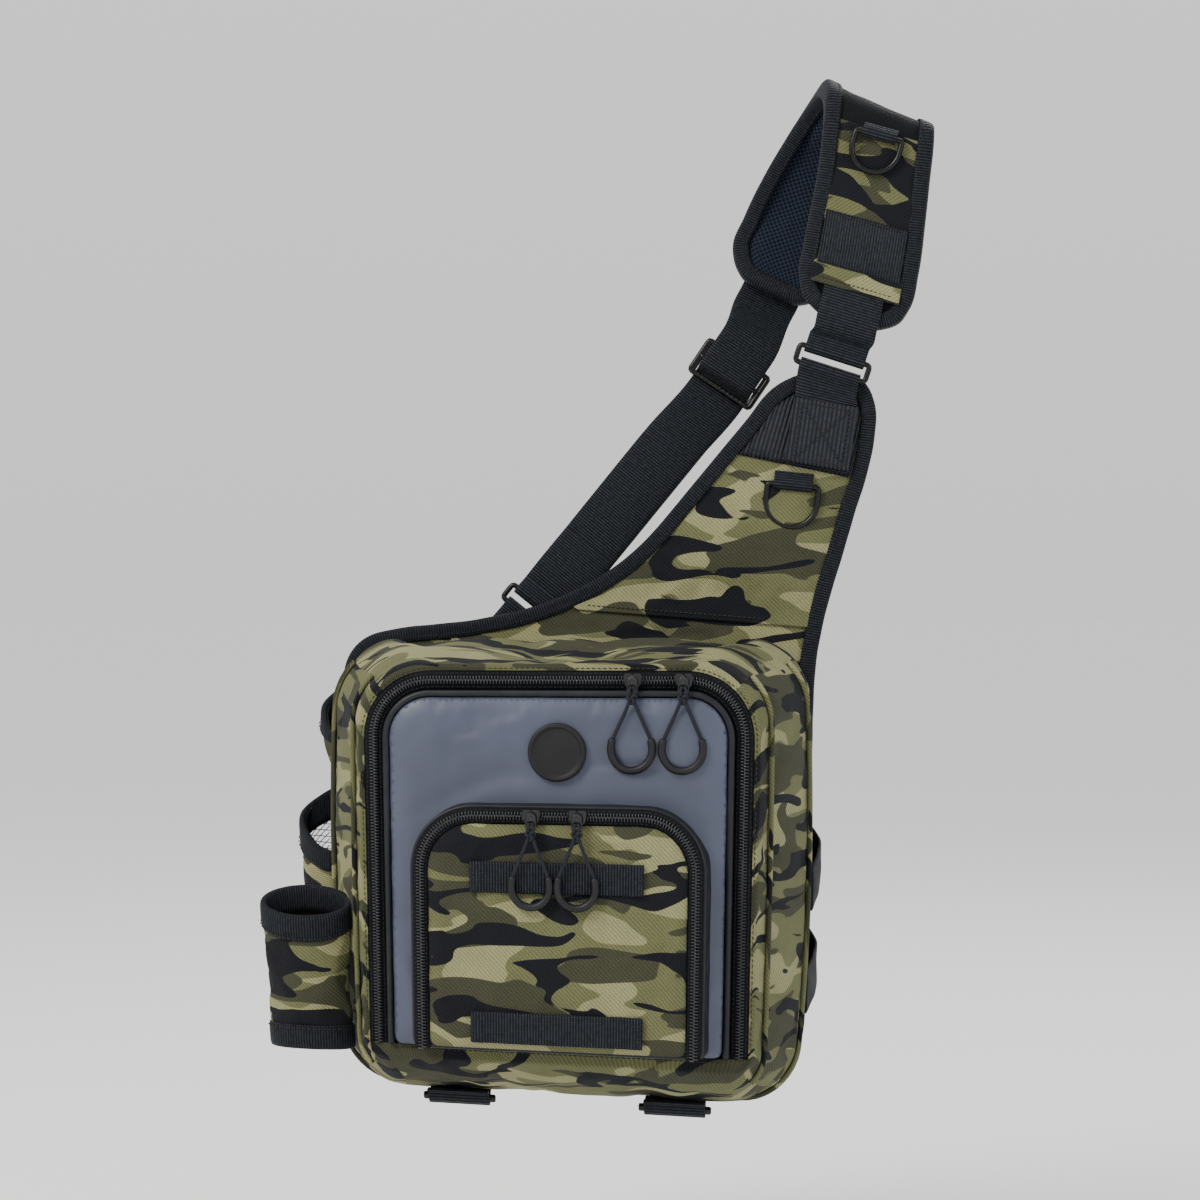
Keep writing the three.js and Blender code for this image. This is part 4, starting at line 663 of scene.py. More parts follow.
def plate_piece(name, outline, spacing, depth, finish, slot, **rest):
    """A face over a flat outline. depth gives y for the points and their distance to the edge."""
    points, triangles, edge = filled(outline, spacing, rest.pop("also", ()))
    y = depth(points, edge)
    spots = np.stack([points[:, 0], y, points[:, 1]], axis=1)
    a, b, c = spots[[t[0] for t in triangles]], spots[[t[1] for t in triangles]], spots[[t[2] for t in triangles]]
    facing = np.cross(b - a, c - a)[:, 1].sum()
    if (facing > 0) != rest.pop("faces_back", False):
        triangles = [t[::-1] for t in triangles]
    uvs = points[[k for t in triangles for k in t]]
    if "lean" in rest:
        lean = math.radians(rest.pop("lean"))
        uvs = uvs @ np.array(((math.sin(lean), math.cos(lean)), (math.cos(lean), -math.sin(lean))))
    return make_piece(name, spots, triangles, uvs, finish, slot, **rest)


def nearest(points, line):
    """Each point's distance to the nearest point of a line."""
    return np.min(np.linalg.norm(points[:, None] - line[None], axis=2), axis=1)


def mesh_places(piece):
    """The points of a piece in bag millimetres, as they hang."""
    spots = np.empty(len(piece.data.vertices) * 3, np.float32)
    piece.data.vertices.foreach_get("co", spots)
    return spots.reshape(-1, 3).astype(float) * 1000 + HANG_POINT


def thicken(piece, wall, offset=-1.0):
    """Gives a sheet its wall, in mm, with a rim."""
    modifier = piece.modifiers.new("wall", "SOLIDIFY")
    modifier.thickness = wall / 1000
    modifier.offset = offset
    modifier.use_even_offset = True
    return piece


def soften(piece):
    """Rounds a coarse mesh by one level of subdivision."""
    modifier = piece.modifiers.new("round", "SUBSURF")
    modifier.levels = modifier.render_levels = 1
    return piece


CLOTH_STIFFNESS = 12.0


def relax(piece, free, pressure, cap, shrink=-0.02, frames=16, bending=0.6):
    """Cloth simulation of a sewn panel: free is how far, 0 to 1, each point may leave its seam."""
    mesh = piece.data
    start = np.empty(len(mesh.vertices) * 3)
    mesh.vertices.foreach_get("co", start)
    start = start.reshape(-1, 3)
    group = piece.vertex_groups.new(name="sewn")
    for k, share in enumerate(free):
        group.add([k], 1.0 if share <= 0.02 else float(0.25 * (1 - min(share, 1)) ** 2), "REPLACE")
    modifier = piece.modifiers.new("cloth", "CLOTH")
    settings = modifier.settings
    settings.quality = 5
    settings.mass = 0.25
    settings.tension_stiffness = settings.compression_stiffness = CLOTH_STIFFNESS
    settings.shear_stiffness = 5
    settings.bending_stiffness = bending
    settings.use_pressure = True
    settings.uniform_pressure_force = pressure
    settings.shrink_min = shrink
    settings.vertex_group_mass = "sewn"
    settings.pin_stiffness = 1.0
    settings.effector_weights.gravity = 0
    modifier.point_cache.frame_start = 1
    modifier.point_cache.frame_end = frames
    for k in range(1, frames + 1):
        scene.frame_set(k)
    shaped = piece.evaluated_get(bpy.context.evaluated_depsgraph_get())
    end = np.empty(len(mesh.vertices) * 3)
    shaped.data.vertices.foreach_get("co", end)
    end = end.reshape(-1, 3)
    piece.modifiers.remove(modifier)
    scene.frame_set(1)
    move = end - start
    size = np.linalg.norm(move, axis=1)
    most = np.asarray(cap) / 1000 * np.ones(len(size))
    scale = np.where(size > 1e-9, most * np.tanh(size / most) / np.maximum(size, 1e-9), 0)
    mesh.vertices.foreach_set("co", (start + move * scale[:, None]).ravel())
    mesh.update()
    return piece


WRAP_STEPS = 18


# Stations on the strap, and rows of a strap: place, direction across and half width

def placed(points, station):
    """Points of a station's own frame, whose x runs along its bar, in bag coordinates."""
    points = np.asarray(points, float)
    tilt = math.radians(station["tilt"])
    x, y, z = points[..., 0], points[..., 1], points[..., 2]
    turned = np.stack([
        math.cos(tilt) * x + math.sin(tilt) * z, y, math.cos(tilt) * z - math.sin(tilt) * x,
    ], axis=-1)
    return turned + np.array(station["place"])


def across_at(tilt):
    return (math.cos(math.radians(tilt)), 0.0, -math.sin(math.radians(tilt)))


def row(place, tilt, half):
    return (*place, *across_at(tilt), half)


def local_row(station, y, z, half):
    return row(placed((0, y, z), station), station["tilt"], half)


def wrap_rows(station, bar_z, radius, start, end, half):
    """Rows round a bar of a station."""
    angles = np.radians(np.linspace(start, end, WRAP_STEPS + 1))
    return [local_row(station, radius * math.cos(a), bar_z + radius * math.sin(a), half) for a in angles]


def strap_points(rows, thickness, step=1.6, across_count=12, edge=0.45):
    """A grid round a strap: its face, one rounded edge, its back and the other edge."""
    line = smooth(rows, step)
    centre = line[:, :3]
    side = line[:, 3:6] / np.linalg.norm(line[:, 3:6], axis=1)[:, None]
    along = np.gradient(centre, axis=0)
    face = np.cross(along, side)
    face /= np.linalg.norm(face, axis=1)[:, None]
    half = line[:, 6]
    flat = np.linspace(-1, 1, across_count)
    rise = thickness / 2
    section = [(s, 1.0, 0.0) for s in flat]
    section += [(1.0, math.cos(a), math.sin(a)) for a in np.radians((45, 90, 135))]
    section += [(-s, -1.0, 0.0) for s in flat]
    section += [(-1.0, -math.cos(a), math.sin(a)) for a in np.radians((45, 90, 135))]
    rings = []
    for share, up, out in section:
        reach = share * (half - edge) + math.copysign(out * edge, share)
        rings.append(centre + side * reach[:, None] + face * (up * rise))
    return np.stack(rings, axis=1)


def strap_piece(name, rows, thickness=WEBBING_THICKNESS, step=1.6):
    """Webbing or tape through the given rows, for the CAD node that has its name."""
    closed_piece(name, strap_points(rows, thickness, step), strap_webbing, "webbing", hung=False, nodes=(name,))


# Stitching: short rounded dashes of thread that stand a little out of the cloth

STITCHES = {"black": [], "olive": []}
SEAM_THREAD = 0.34
STITCH_SHARE = 0.72


def stitch_line(line, colour="black", pitch=3.2, thick=SEAM_THREAD, hung=True):
    """Thread along a line in bag millimetres, kept for the two stitching pieces."""
    line = even(line, 0.4)
    run = np.concatenate([[0], np.cumsum(np.linalg.norm(np.diff(line, axis=0), axis=1))])
    start = 0.0
    while start + pitch <= run[-1]:
        spots = np.linspace(start, start + STITCH_SHARE * pitch, 5)
        dash = np.stack([np.interp(spots, run, line[:, k]) for k in range(3)], axis=1)
        STITCHES[colour].append((hang(dash) if hung else dash, thick))
        start += pitch


def stitching_piece(name, dashes, finish):
    """All the thread of one colour as one piece."""
    points, faces, uvs = [], [], []
    for line, thick in dashes:
        ring = tube_points(line, thick * np.array((0.25, 0.9, 1.0, 0.9, 0.25)), sides=5)
        first = len(points)
        points.extend(ring.reshape(-1, 3))
        made, corners = grid_faces(5, 5, False, True)
        faces.extend([[first + k for k in face] for face in made])
        uvs.extend(corners[:, ::-1] * 0.5)
        for end, flip in ((0, True), (4, False)):
            loop = [first + end * 5 + k for k in range(5)]
            faces.append(loop[::-1] if flip else loop)
            uvs.extend([(0, 0)] * 5)
    return make_piece(name, np.array(points), faces, uvs, finish, "cord", hung=False)


# Pull cords: a braided loop hangs from each slider through a moulded grip

def pull_line(x, top, half, y):
    bend = top - PULL_LENGTH + half
    arm = [(0.1, -1.0), (0.3, -7.0), (0.68, -17.0), (0.95, -25.0)]
    left = [(x - share * half, y, top + drop) for share, drop in arm]
    right = [(x + share * half, y, top + drop) for share, drop in reversed(arm)]
    bottom = [(px, y, pz) for px, pz in arc(x, bend, half, 180, 360, 12)]
    return smooth(left + bottom + right, 1.2)


def knot_points(x, y, z, size):
    """An overhand knot drawn tight: a trefoil of the same cord."""
    t = np.linspace(0, 2 * np.pi, 60, endpoint=False)
    spot = np.stack([
        np.sin(t) + 1.5 * np.sin(2 * t), 0.75 * np.sin(3 * t), np.cos(t) - 1.5 * np.cos(2 * t),
    ], axis=1) * size * 0.42
    return spot + np.array((x, y, z))


def pull(prefix, side, x, slide_z, half, y):
    top = slide_z - 9 + 1.5 - KNOT_RADIUS - SEAM_GAP
    line = pull_line(x, top, half, y)
    radius = CORD_DIAMETER / 2
    cord = grid_piece(
        f"{prefix}_pull_cord_{side}", tube_points(line, radius, 10), pull_cord_braid, "cord",
        close_columns=True, caps=True, nodes=(f"{prefix}_pull_cord_{side}",),
    )
    knot = grid_piece(
        f"{prefix}_pull_knot_{side}", tube_points(knot_points(x, y, top, KNOT_RADIUS), radius * 0.95, 8, closed=True),
        pull_cord_braid, "cord", close_rows=True, close_columns=True,
    )
    # Two strands of the same loop go on from the knot through the slider's tab
    strands = []
    for lean in (-1, 1):
        rise = smooth([
            (x + lean * 0.9, y, top + 1.5), (x + lean * 1.6, y + 0.4, top + 4.2), (x + lean * 0.7, y + 0.9, top + 7.0),
        ], 0.8)
        strands.append(grid_piece(
            f"strand_{prefix}_{side}_{lean}", tube_points(rise, radius * 0.9, 8), pull_cord_braid, "cord",
            close_columns=True, caps=True,
        ))
    knot = join_pieces(f"{prefix}_pull_knot_{side}", [knot] + strands)
    bend = top - PULL_LENGTH + half
    grip_line = smooth([
        (x - half * 0.93, y, bend + 6.2), *[(px, y, pz) for px, pz in arc(x, bend, half, 180, 360, 14)],
        (x + half * 0.93, y, bend + 6.2),
    ], 1.0)
    grip_radius = np.full(len(grip_line), radius + 1.2)
    grip_radius[:2] -= (0.5, 0.12)
    grip_radius[-2:] -= (0.12, 0.5)
    grip = grid_piece(
        f"{prefix}_pull_grip_{side}", tube_points(grip_line, grip_radius, 14), soft_pvc, "soft_plastic",
        close_columns=True, caps=True, nodes=(f"{prefix}_pull_tube_{side}",),
    )
    placed_line = hung_metres(line)
    tuple(hung_metres((x, y, top)))


MAIN_SLIDERS = [MAIN_ARCH["centre"] + share * MAIN_ARCH["half"] for share in (0.399, 0.67)]
POCKET_SLIDERS = [POCKET_ARCH["centre"] + share * POCKET_ARCH["half"] for share in (-0.184, 0.147)]
PULL_REACH = SEAM_GAP + CORD_DIAMETER / 2 + 0.5 + 0.7
STRIP_FRONT_Y = POCKET_FACE_Y - SEAM_GAP - WEBBING_THICKNESS - 0.6
for side, x in zip(("left", "right"), MAIN_SLIDERS):
    pull("main", side, x, MAIN_ARCH["top"], 12.0, PANEL_FACE_Y - PULL_REACH)
for side, x in zip(("left", "right"), POCKET_SLIDERS):
    pull("pocket", side, x, POCKET_ARCH["top"], 11.2, STRIP_FRONT_Y - PULL_REACH)


# Sliders of the zips: a wedge-shaped body, a bridge over it and a tab with an eye

def bevelled(work, outline, y_front, y_back, bevel):
    """Adds a flat plate of an outline (x, z) with rounded front and back edges."""
    rings = []
    for y, inset in ((y_back, bevel), (y_back - bevel, 0.0), (y_front + bevel, 0.0), (y_front, bevel)):
        side = grown(outline, -inset)
        rings.append([work.verts.new((px, y, pz)) for px, pz in side])
    count = len(outline)
    for near, far in zip(rings, rings[1:]):
        for k in range(count):
            work.faces.new((near[k], near[(k + 1) % count], far[(k + 1) % count], far[k]))
    work.faces.new(rings[0])
    work.faces.new(rings[-1][::-1])


def bmesh_piece(name, work, finish, slot, hung=True):
    """Makes the piece of the CAD node that has its name."""
    bmesh.ops.recalc_face_normals(work, faces=work.faces)
    work.verts.index_update()
    points = np.array([v.co for v in work.verts])
    faces = [[v.index for v in face.verts] for face in work.faces]
    uvs = [points[k][[0, 2]] for face in faces for k in face]
    work.free()
    return make_piece(name, points, faces, uvs, finish, slot, hung=hung, nodes=(name,))


def add_tube(work, line, radius, sides=8, closed=False, flat=1.0):
    grid = tube_points(line, radius, sides, flat, closed)
    rows, columns = grid.shape[:2]
    made = [[work.verts.new(p) for p in ring] for ring in grid.tolist()]
    for i in range(rows if closed else rows - 1):
        for k in range(columns):
            near, far = made[i], made[(i + 1) % rows]
            work.faces.new((near[k], near[(k + 1) % columns], far[(k + 1) % columns], far[k]))
    if not closed:
        work.faces.new(made[0][::-1])
        work.faces.new(made[-1])


def sharp_by_angle(piece, degrees=35):
    """Keeps the edges of a moulded or cast piece crisp where its faces turn sharply."""
    work = bmesh.new()
    work.from_mesh(piece.data)
    for edge in work.edges:
        if len(edge.link_faces) == 2 and edge.calc_face_angle() > math.radians(degrees):
            edge.smooth = False
    work.to_mesh(piece.data)
    work.free()
    return piece


def zip_slider(name, x, z, coil_y):
    body_y = coil_y - SEAM_GAP - ZIP_BODY_HALF
    work = bmesh.new()
    wedge = np.array([
        (-5.5, 1.6), (-4.6, 3.8), (-1.4, 4.0), (0, 3.2), (1.4, 4.0), (4.6, 3.8), (5.5, 1.6),
        (4.4, -2.6), (3.2, -4.0), (-3.2, -4.0), (-4.4, -2.6),
    ]) + (x, z)
    bevelled(work, wedge, body_y - ZIP_BODY_HALF, body_y + ZIP_BODY_HALF, 0.5)
    bridge = smooth([
        (x, body_y - 1.3, z + 2.6), (x, body_y - 2.9, z + 1.7), (x, body_y - 3.2, z), (x, body_y - 2.9, z - 1.7),
        (x, body_y - 1.3, z - 2.4),
    ], 0.6)
    add_tube(work, bridge, 1.05, 8)
    tab_y = body_y - ZIP_BODY_HALF - 0.8 - 1.2
    eye = np.array([
        (-1.1, 1.7), (1.1, 1.7), (2.3, 0.4), (2.6, -5.6), (2.2, -7.2), (-2.2, -7.2), (-2.6, -5.6), (-2.3, 0.4),
    ]) + (x, z)
    loop = even(at_y(eye, tab_y), 0.8, closed=True)
    add_tube(work, loop, 0.85, 8, closed=True, flat=0.8)
    neck = np.array([(-2.0, 1.2), (2.0, 1.2), (2.3, -2.6), (-2.3, -2.6)]) + (x, z)
    bevelled(work, neck, tab_y - 0.5, tab_y + 0.5, 0.2)
    return sharp_by_angle(bmesh_piece(name, work, enamelled_zinc, "slider_metal"))


MAIN_COIL_Y = BAG_FRONT_Y + CLOTH_WALL - 2 * ZIP_THICKNESS
POCKET_COIL_Y = POCKET_TAPE_Y - 2 * ZIP_THICKNESS
for side, x in zip(("left", "right"), MAIN_SLIDERS):
    zip_slider(f"main_slider_{side}", x, MAIN_ARCH["top"], MAIN_COIL_Y)
for side, x in zip(("left", "right"), POCKET_SLIDERS):
    zip_slider(f"pocket_slider_{side}", x, POCKET_ARCH["top"], POCKET_COIL_Y)


# Rings, bars and the ladder slider of the strap

def loop_piece(name, outline, step, station, body="bag"):
    """A moulded ring: a round bar along a closed outline (x, z) of a station's own frame."""
    line = even(at_y(outline, 0.0), step, closed=True)
    grid = placed(tube_points(line, RING_WIRE, 16, closed=True), station)
    piece = grid_piece(
        name, grid, acetal, "plastic", close_rows=True, close_columns=True, hung=False,
        nodes=(name,), body=body,
    )
    return face_outward(piece)


def rectangular_ring(name, station):
    """A ring for webbing, with small round corners."""
    return loop_piece(name, rounded_box(RING_INNER / 2 + RING_WIRE, RING_SPACING / 2, 2), 1.2, station)


def d_ring(name, station, width, drop, body):
    """A half round ring that hangs from its straight bar."""
    half = width / 2 - RING_WIRE
    bottom = arc(0, 2 * RING_WIRE - drop + half, half, 0, -180, 30)
    outline = np.vstack([
        [(-half, -1.6)], arc(-half + 1.6, -1.6, 1.6, 180, 90, 5), arc(half - 1.6, -1.6, 1.6, 90, 0, 5), bottom,
    ])
    return loop_piece(name, outline, 1.0, station, body)


WING_D = {"place": (134.5, PANEL_FRONT_Y - SEAM_GAP - TAPE_THICKNESS / 2 - TAPE_RADIUS, 361.0), "tilt": 6.0}
PAD_TAPE_OFFSET = PAD_WALL / 2 + SEAM_GAP + PAD_COVER_THICKNESS + SEAM_GAP + TAPE_THICKNESS / 2 + TAPE_RADIUS
PAD_FRONT_Y = 46.324
PAD_D = {"place": (187.0, PAD_FRONT_Y - PAD_TAPE_OFFSET, 573.0), "tilt": 16.0}
rectangular_ring("strap_ring", RING_STATION)
rectangular_ring("lower_ring", LOWER_RING)
d_ring("wing_d_ring", WING_D, 35.0, 29.0, "wing_ring")
d_ring("pad_d_ring", PAD_D, 32.5, 26.0, "pad_ring")


def ladder_slider(name, station):
    """A moulded slider: a frame with a middle bar, its edges rounded and its grips ribbed."""
    half = RING_INNER / 2 + 3.4
    high = SLIDER_SPACING + SLIDER_BAR / 2
    work = bmesh.new()
    frame_line = even(at_y(grown(rounded_box(half, high, 3), -1.7), 0.0), 1.2, closed=True)
    add_tube(work, frame_line, 1.85, 14, closed=True)
    bar = even([(-half + 2, 0.0, 0.0), (half - 2, 0.0, 0.0)], 2)
    add_tube(work, bar, 1.8, 14)
    # A second round bar inside each side of the frame stands close to the webbing's edge
    for x in (-half + 3.4, half - 3.4):
        add_tube(work, even([(x, 0.0, -high + 2), (x, 0.0, high - 2)], 2), 1.35, 12)
    for z in (-high + 1.8, high - 1.8):
        for rib in np.linspace(-half + 8, half - 8, 11):
            add_tube(work, even([(rib, -1.7, z - 1.4), (rib, -1.7, z + 1.4)], 0.9), 0.35, 6)
    for vert in work.verts:
        vert.co = Vector(placed(tuple(vert.co), station))
    return bmesh_piece(name, work, acetal, "plastic", hung=False)


ladder_slider("strap_slider", STRAP_SLIDER)


# The gusset: sections of the shell at any depth, evened out between the rows of the table

SHELL_DEPTHS = np.linspace(0, 1, 101)
blur = np.exp(-0.5 * (np.arange(-9, 10) / 3.0) ** 2)
blur /= blur.sum()
SHELL_TABLE = np.stack([np.interp(SHELL_DEPTHS, SHELL_ROWS[:, 0], column) for column in SHELL_ROWS[:, 1:].T], axis=1)
SHELL_TABLE = np.concatenate([
    2 * SHELL_TABLE[0] - SHELL_TABLE[9:0:-1], SHELL_TABLE, 2 * SHELL_TABLE[-1] - SHELL_TABLE[-2:-11:-1],
])
SHELL_TABLE = np.stack([np.convolve(column, blur, "valid") for column in SHELL_TABLE.T], axis=1)


def shell_values(y):
    """The seven values of the shell's table at a depth."""
    depth = (BAG_BACK_Y - np.asarray(y, float)) / BAG_DEPTH
    return [np.interp(depth, SHELL_DEPTHS, column) for column in SHELL_TABLE.T]


def side_reach(y, z):
    """How far the side of the shell stands from its middle plane."""
    side, low, top, corner_top, corner_low, bow, _ = shell_values(y)
    foot = BAG_LOW + (low + corner_low) * BAG_HEIGHT
    head = BAG_LOW + (top - corner_top) * BAG_HEIGHT
    share = np.clip((z - foot) / (head - foot), 0, 1)
    reach = side * BAG_WIDTH / 2 + bow * BAG_HEIGHT * (1 - (2 * share - 1) ** 2)
    for radius, over in ((corner_top * BAG_HEIGHT, z - head), (corner_low * BAG_HEIGHT, foot - z)):
        reach = reach - radius + np.sqrt(np.maximum(radius ** 2 - np.maximum(over, 0) ** 2, 0))
    return reach


CORNER_STEPS = 10
SIDE_STEPS = 24
TOP_LEFT = CORNER_STEPS + 1 + SIDE_STEPS + CORNER_STEPS // 2
TOP_RIGHT = TOP_LEFT + CORNER_STEPS + 1 + SIDE_STEPS
LOW_RIGHT = TOP_RIGHT + CORNER_STEPS + 1 + SIDE_STEPS


def four_sided(left, right, low, top, corner_top, corner_low, bow=0.0, dip=0.0):
    """A rounded outline with a fixed number of points, clockwise from its lower left corner."""
    share = np.linspace(0, 1, SIDE_STEPS + 2)[1:-1]
    swell = 1 - (2 * share - 1) ** 2

    def side(x, z):
        return np.stack([np.broadcast_to(x, share.shape), np.broadcast_to(z, share.shape)], axis=1)

    foot, head = low + corner_low, top - corner_top
    return np.vstack([
        arc(left + corner_low, foot, corner_low, 270, 180, CORNER_STEPS),
        side(left - bow * swell, foot + share * (head - foot)),
        arc(left + corner_top, head, corner_top, 180, 90, CORNER_STEPS),
        side(left + corner_top + share * (right - left - 2 * corner_top), top - dip * swell),
        arc(right - corner_top, head, corner_top, 90, 0, CORNER_STEPS),
        side(right + bow * swell, head + share * (foot - head)),
        arc(right - corner_low, foot, corner_low, 0, -90, CORNER_STEPS),
        side(right - corner_low + share * (left - right + 2 * corner_low), low),
    ])


def section_line(y):
    """The shell's outline at a depth."""
    side, low, top, corner_top, corner_low, bow, dip = (float(v) * BAG_HEIGHT for v in shell_values(y))
    half = side / BAG_HEIGHT * BAG_WIDTH / 2
    return four_sided(
        BAG_CENTRE_X - half, BAG_CENTRE_X + half, BAG_LOW + low, BAG_LOW + top, corner_top, corner_low, bow, dip,
    )


def uneven(points, amount, wave, axis=(0, -1, 0), seed=1):
    """Adds the small uneven swells of sewn cloth along an axis, in mm."""
    dice = np.random.default_rng(seed)
    points = np.asarray(points, float)
    shift = np.zeros(points.shape[:-1])
    for k in range(6):
        way = dice.normal(size=3)
        way /= np.linalg.norm(way)
        shift += np.sin(points @ way * 2 * np.pi / (wave * (0.55 + 0.22 * k)) + dice.uniform(0, 6.3))
    return points + (shift * amount / 2.4)[..., None] * np.array(axis)


def face_from(piece, place):
    """Turns the faces of an open piece away from a place in bag millimetres."""
    mesh = piece.data
    centre = Vector(hung_metres(place))
    if sum((face.center - centre).dot(face.normal) * face.area for face in mesh.polygons) < 0:
        mesh.flip_normals()
    return piece


def lined_with_painted_shade(piece, wall, painted_shade_lining):
    """Gives a cloth its wall with another finish inside: a dark lining that is painted shade for the inside of the
    piece.
    """
    piece.data.materials.append(painted_shade_lining)
    thicken(piece, wall)
    piece.modifiers["wall"].material_offset = 1
    return piece


SIDE_PIPING_Y = BAG_BACK_Y - SIDE_PIPING_DEPTH * BAG_DEPTH
FRONT_PIPING_Y = BAG_BACK_Y - FRONT_PIPING_DEPTH * BAG_DEPTH


def bag_shell():
    opening_reach = MAIN_TAPE / 2 + SEAM_GAP
    opening = four_sided(
        BAG_CENTRE_X - MAIN_ARCH["half"] - opening_reach, BAG_CENTRE_X + MAIN_ARCH["half"] + opening_reach,
        MAIN_ARCH["low"] - SEAM_GAP, MAIN_ARCH["top"] + opening_reach, MAIN_ARCH["radius"] + opening_reach, 0.6,
    )
    depths = np.concatenate([
        np.linspace(0, SIDE_PIPING_DEPTH, 12)[:-1], np.linspace(SIDE_PIPING_DEPTH, FRONT_PIPING_DEPTH, 14)[:-1],
        np.linspace(FRONT_PIPING_DEPTH, 1, 6),
    ])
    rings = [at_y(section_line(y), y) for y in BAG_BACK_Y - depths * BAG_DEPTH]
    front = rings[-1]
    for share in (0.12, 0.4, 0.7, 1.0):
        ring = front * (1 - share) + at_y(opening, BAG_FRONT_Y) * share
        rings.append(ring)
    points = np.stack(rings)
    piece = grid_piece(
        "bag_shell", points, camo_gusset, "camo_cloth", close_columns=True, turn=True, nodes=("bag_shell",),
    )
    # The top and the bottom are cut as pieces of their own, with the print the other way round
    layer = piece.data.uv_layers["cloth_mm"].data
    for face in piece.data.polygons:
        column = face.index % points.shape[1]
        if TOP_LEFT <= column < TOP_RIGHT or column >= LOW_RIGHT or column < CORNER_STEPS // 2:
            for k in face.loop_indices:
                layer[k].uv = (layer[k].uv[1], 70 - layer[k].uv[0])
    face_from(piece, (BAG_CENTRE_X, 0, 130))
    seams = np.array((0.0, SIDE_PIPING_DEPTH, FRONT_PIPING_DEPTH, 1.0))
    free = np.array([np.clip(np.abs(seams - d).min() / 0.09, 0, 1) for d in depths] + [0.0] * 4)
    columns = points.shape[1]
    # The gusset gives more at its top, where nothing is sewn to it
    cap = np.full(columns, 2.6)
    cap[TOP_LEFT:TOP_RIGHT] = 5.0
    cap = np.convolve(np.concatenate([cap[-4:], cap, cap[:4]]), np.ones(9) / 9, "valid")
    relax(piece, np.repeat(free, columns), 6.0, np.tile(cap, len(rings)), shrink=-0.035)
    soften(piece)
    return lined_with_painted_shade(piece, CLOTH_WALL, zip_tape)


bag_shell()


def piping(name, indexes, y):
    line = grown(section_line(y), PIPING_RADIUS + SEAM_GAP)[indexes]
    line = uneven(even(at_y(line, y), 2.5), 0.25, 30, seed=len(indexes))
    closed_piece(name, tube_points(line, PIPING_RADIUS, 12), camo_trim, "camo_cloth", turn=True, nodes=(name,))


around = 4 * (CORNER_STEPS + 1 + SIDE_STEPS)
piping("side_piping", list(range(TOP_RIGHT, around)) + list(range(0, TOP_LEFT + 1)), SIDE_PIPING_Y)
piping("front_piping_left", list(range(5, TOP_LEFT + 1)), FRONT_PIPING_Y)
piping("front_piping_right", list(range(TOP_RIGHT, LOW_RIGHT + 1)), FRONT_PIPING_Y)


# Back panel and wing

def bezier(a, b, c, d, steps=14):
    s = np.linspace(0, 1, steps + 1)[1:, None]
    a, b, c, d = (np.array(p, float) for p in (a, b, c, d))
    return (1 - s) ** 3 * a + 3 * s * (1 - s) ** 2 * b + 3 * s ** 2 * (1 - s) * c + s ** 3 * d


def back_outline():
    left, right = BAG_CENTRE_X - BAG_WIDTH / 2, BAG_CENTRE_X + BAG_WIDTH / 2
    top = BAG_LOW + BAG_HEIGHT
    half = WING_WIDTH / 2
    wing_top = top + WING_RISE
    corner = 28
    start = (left + 0.15 * BAG_WIDTH, top - 1)
    low_bend = (right - 2.47 * half, top + 0.38 * WING_RISE)
    high_bend = (right - half, top + 0.79 * WING_RISE)
    crown = (right + 0.34 * half, wing_top - 8)
    shoulder = (right + half, wing_top - 0.265 * WING_RISE)
    waist = (right + 0.66 * half, top + 0.42 * WING_RISE)
    hip = (right, top - 0.3 * WING_RISE)
    outline = np.vstack([
        arc(left + corner, BAG_LOW + corner, corner, 270, 180, 12),
        arc(left + corner, top - corner - 4, corner, 180, 100, 12),
        [start],
        bezier(start, (right - 4.5 * half, top + 3), (right - 3.3 * half, top + 0.15 * WING_RISE), low_bend, 20),
        [high_bend],
        bezier(high_bend, (right - 0.66 * half, wing_top - 12), (right - 0.18 * half, wing_top - 8), crown),
        bezier(crown, (right + 0.8 * half, wing_top - 8), (right + 1.06 * half, wing_top - 0.14 * WING_RISE), shoulder),
        bezier(
            shoulder, (right + 0.95 * half, top + 0.62 * WING_RISE), (right + 0.82 * half, top + 0.52 * WING_RISE),
            waist,
        ),
        bezier(waist, (right + 0.34 * half, top + 0.14 * WING_RISE), (right, top - 0.02 * WING_RISE), hip, 20),
        arc(right - corner, BAG_LOW + corner, corner, 0, -90, 12),
    ])
    line = even(outline, 3.0, closed=True)
    # A little rounding where the straight runs meet the curves
    for _ in range(3):
        line = 0.5 * line + 0.25 * (np.roll(line, 1, axis=0) + np.roll(line, -1, axis=0))
    return line


BACK_EDGE = back_outline()
PATCH_SLOPE = math.radians(12)


def above_patch_foot(points):
    """How far points (x, z) lie above the sloping foot of the patch on the wing."""
    foot = np.array((TAB_STATION["place"][0], TAB_STATION["place"][2] - 1))
    return (points - foot) @ np.array((math.sin(PATCH_SLOPE), math.cos(PATCH_SLOPE)))


def seam_height(x):
    """Height of the seam that crosses the wing."""
    return 284.2 - (x - 10.1) * 9.7 / 127.9


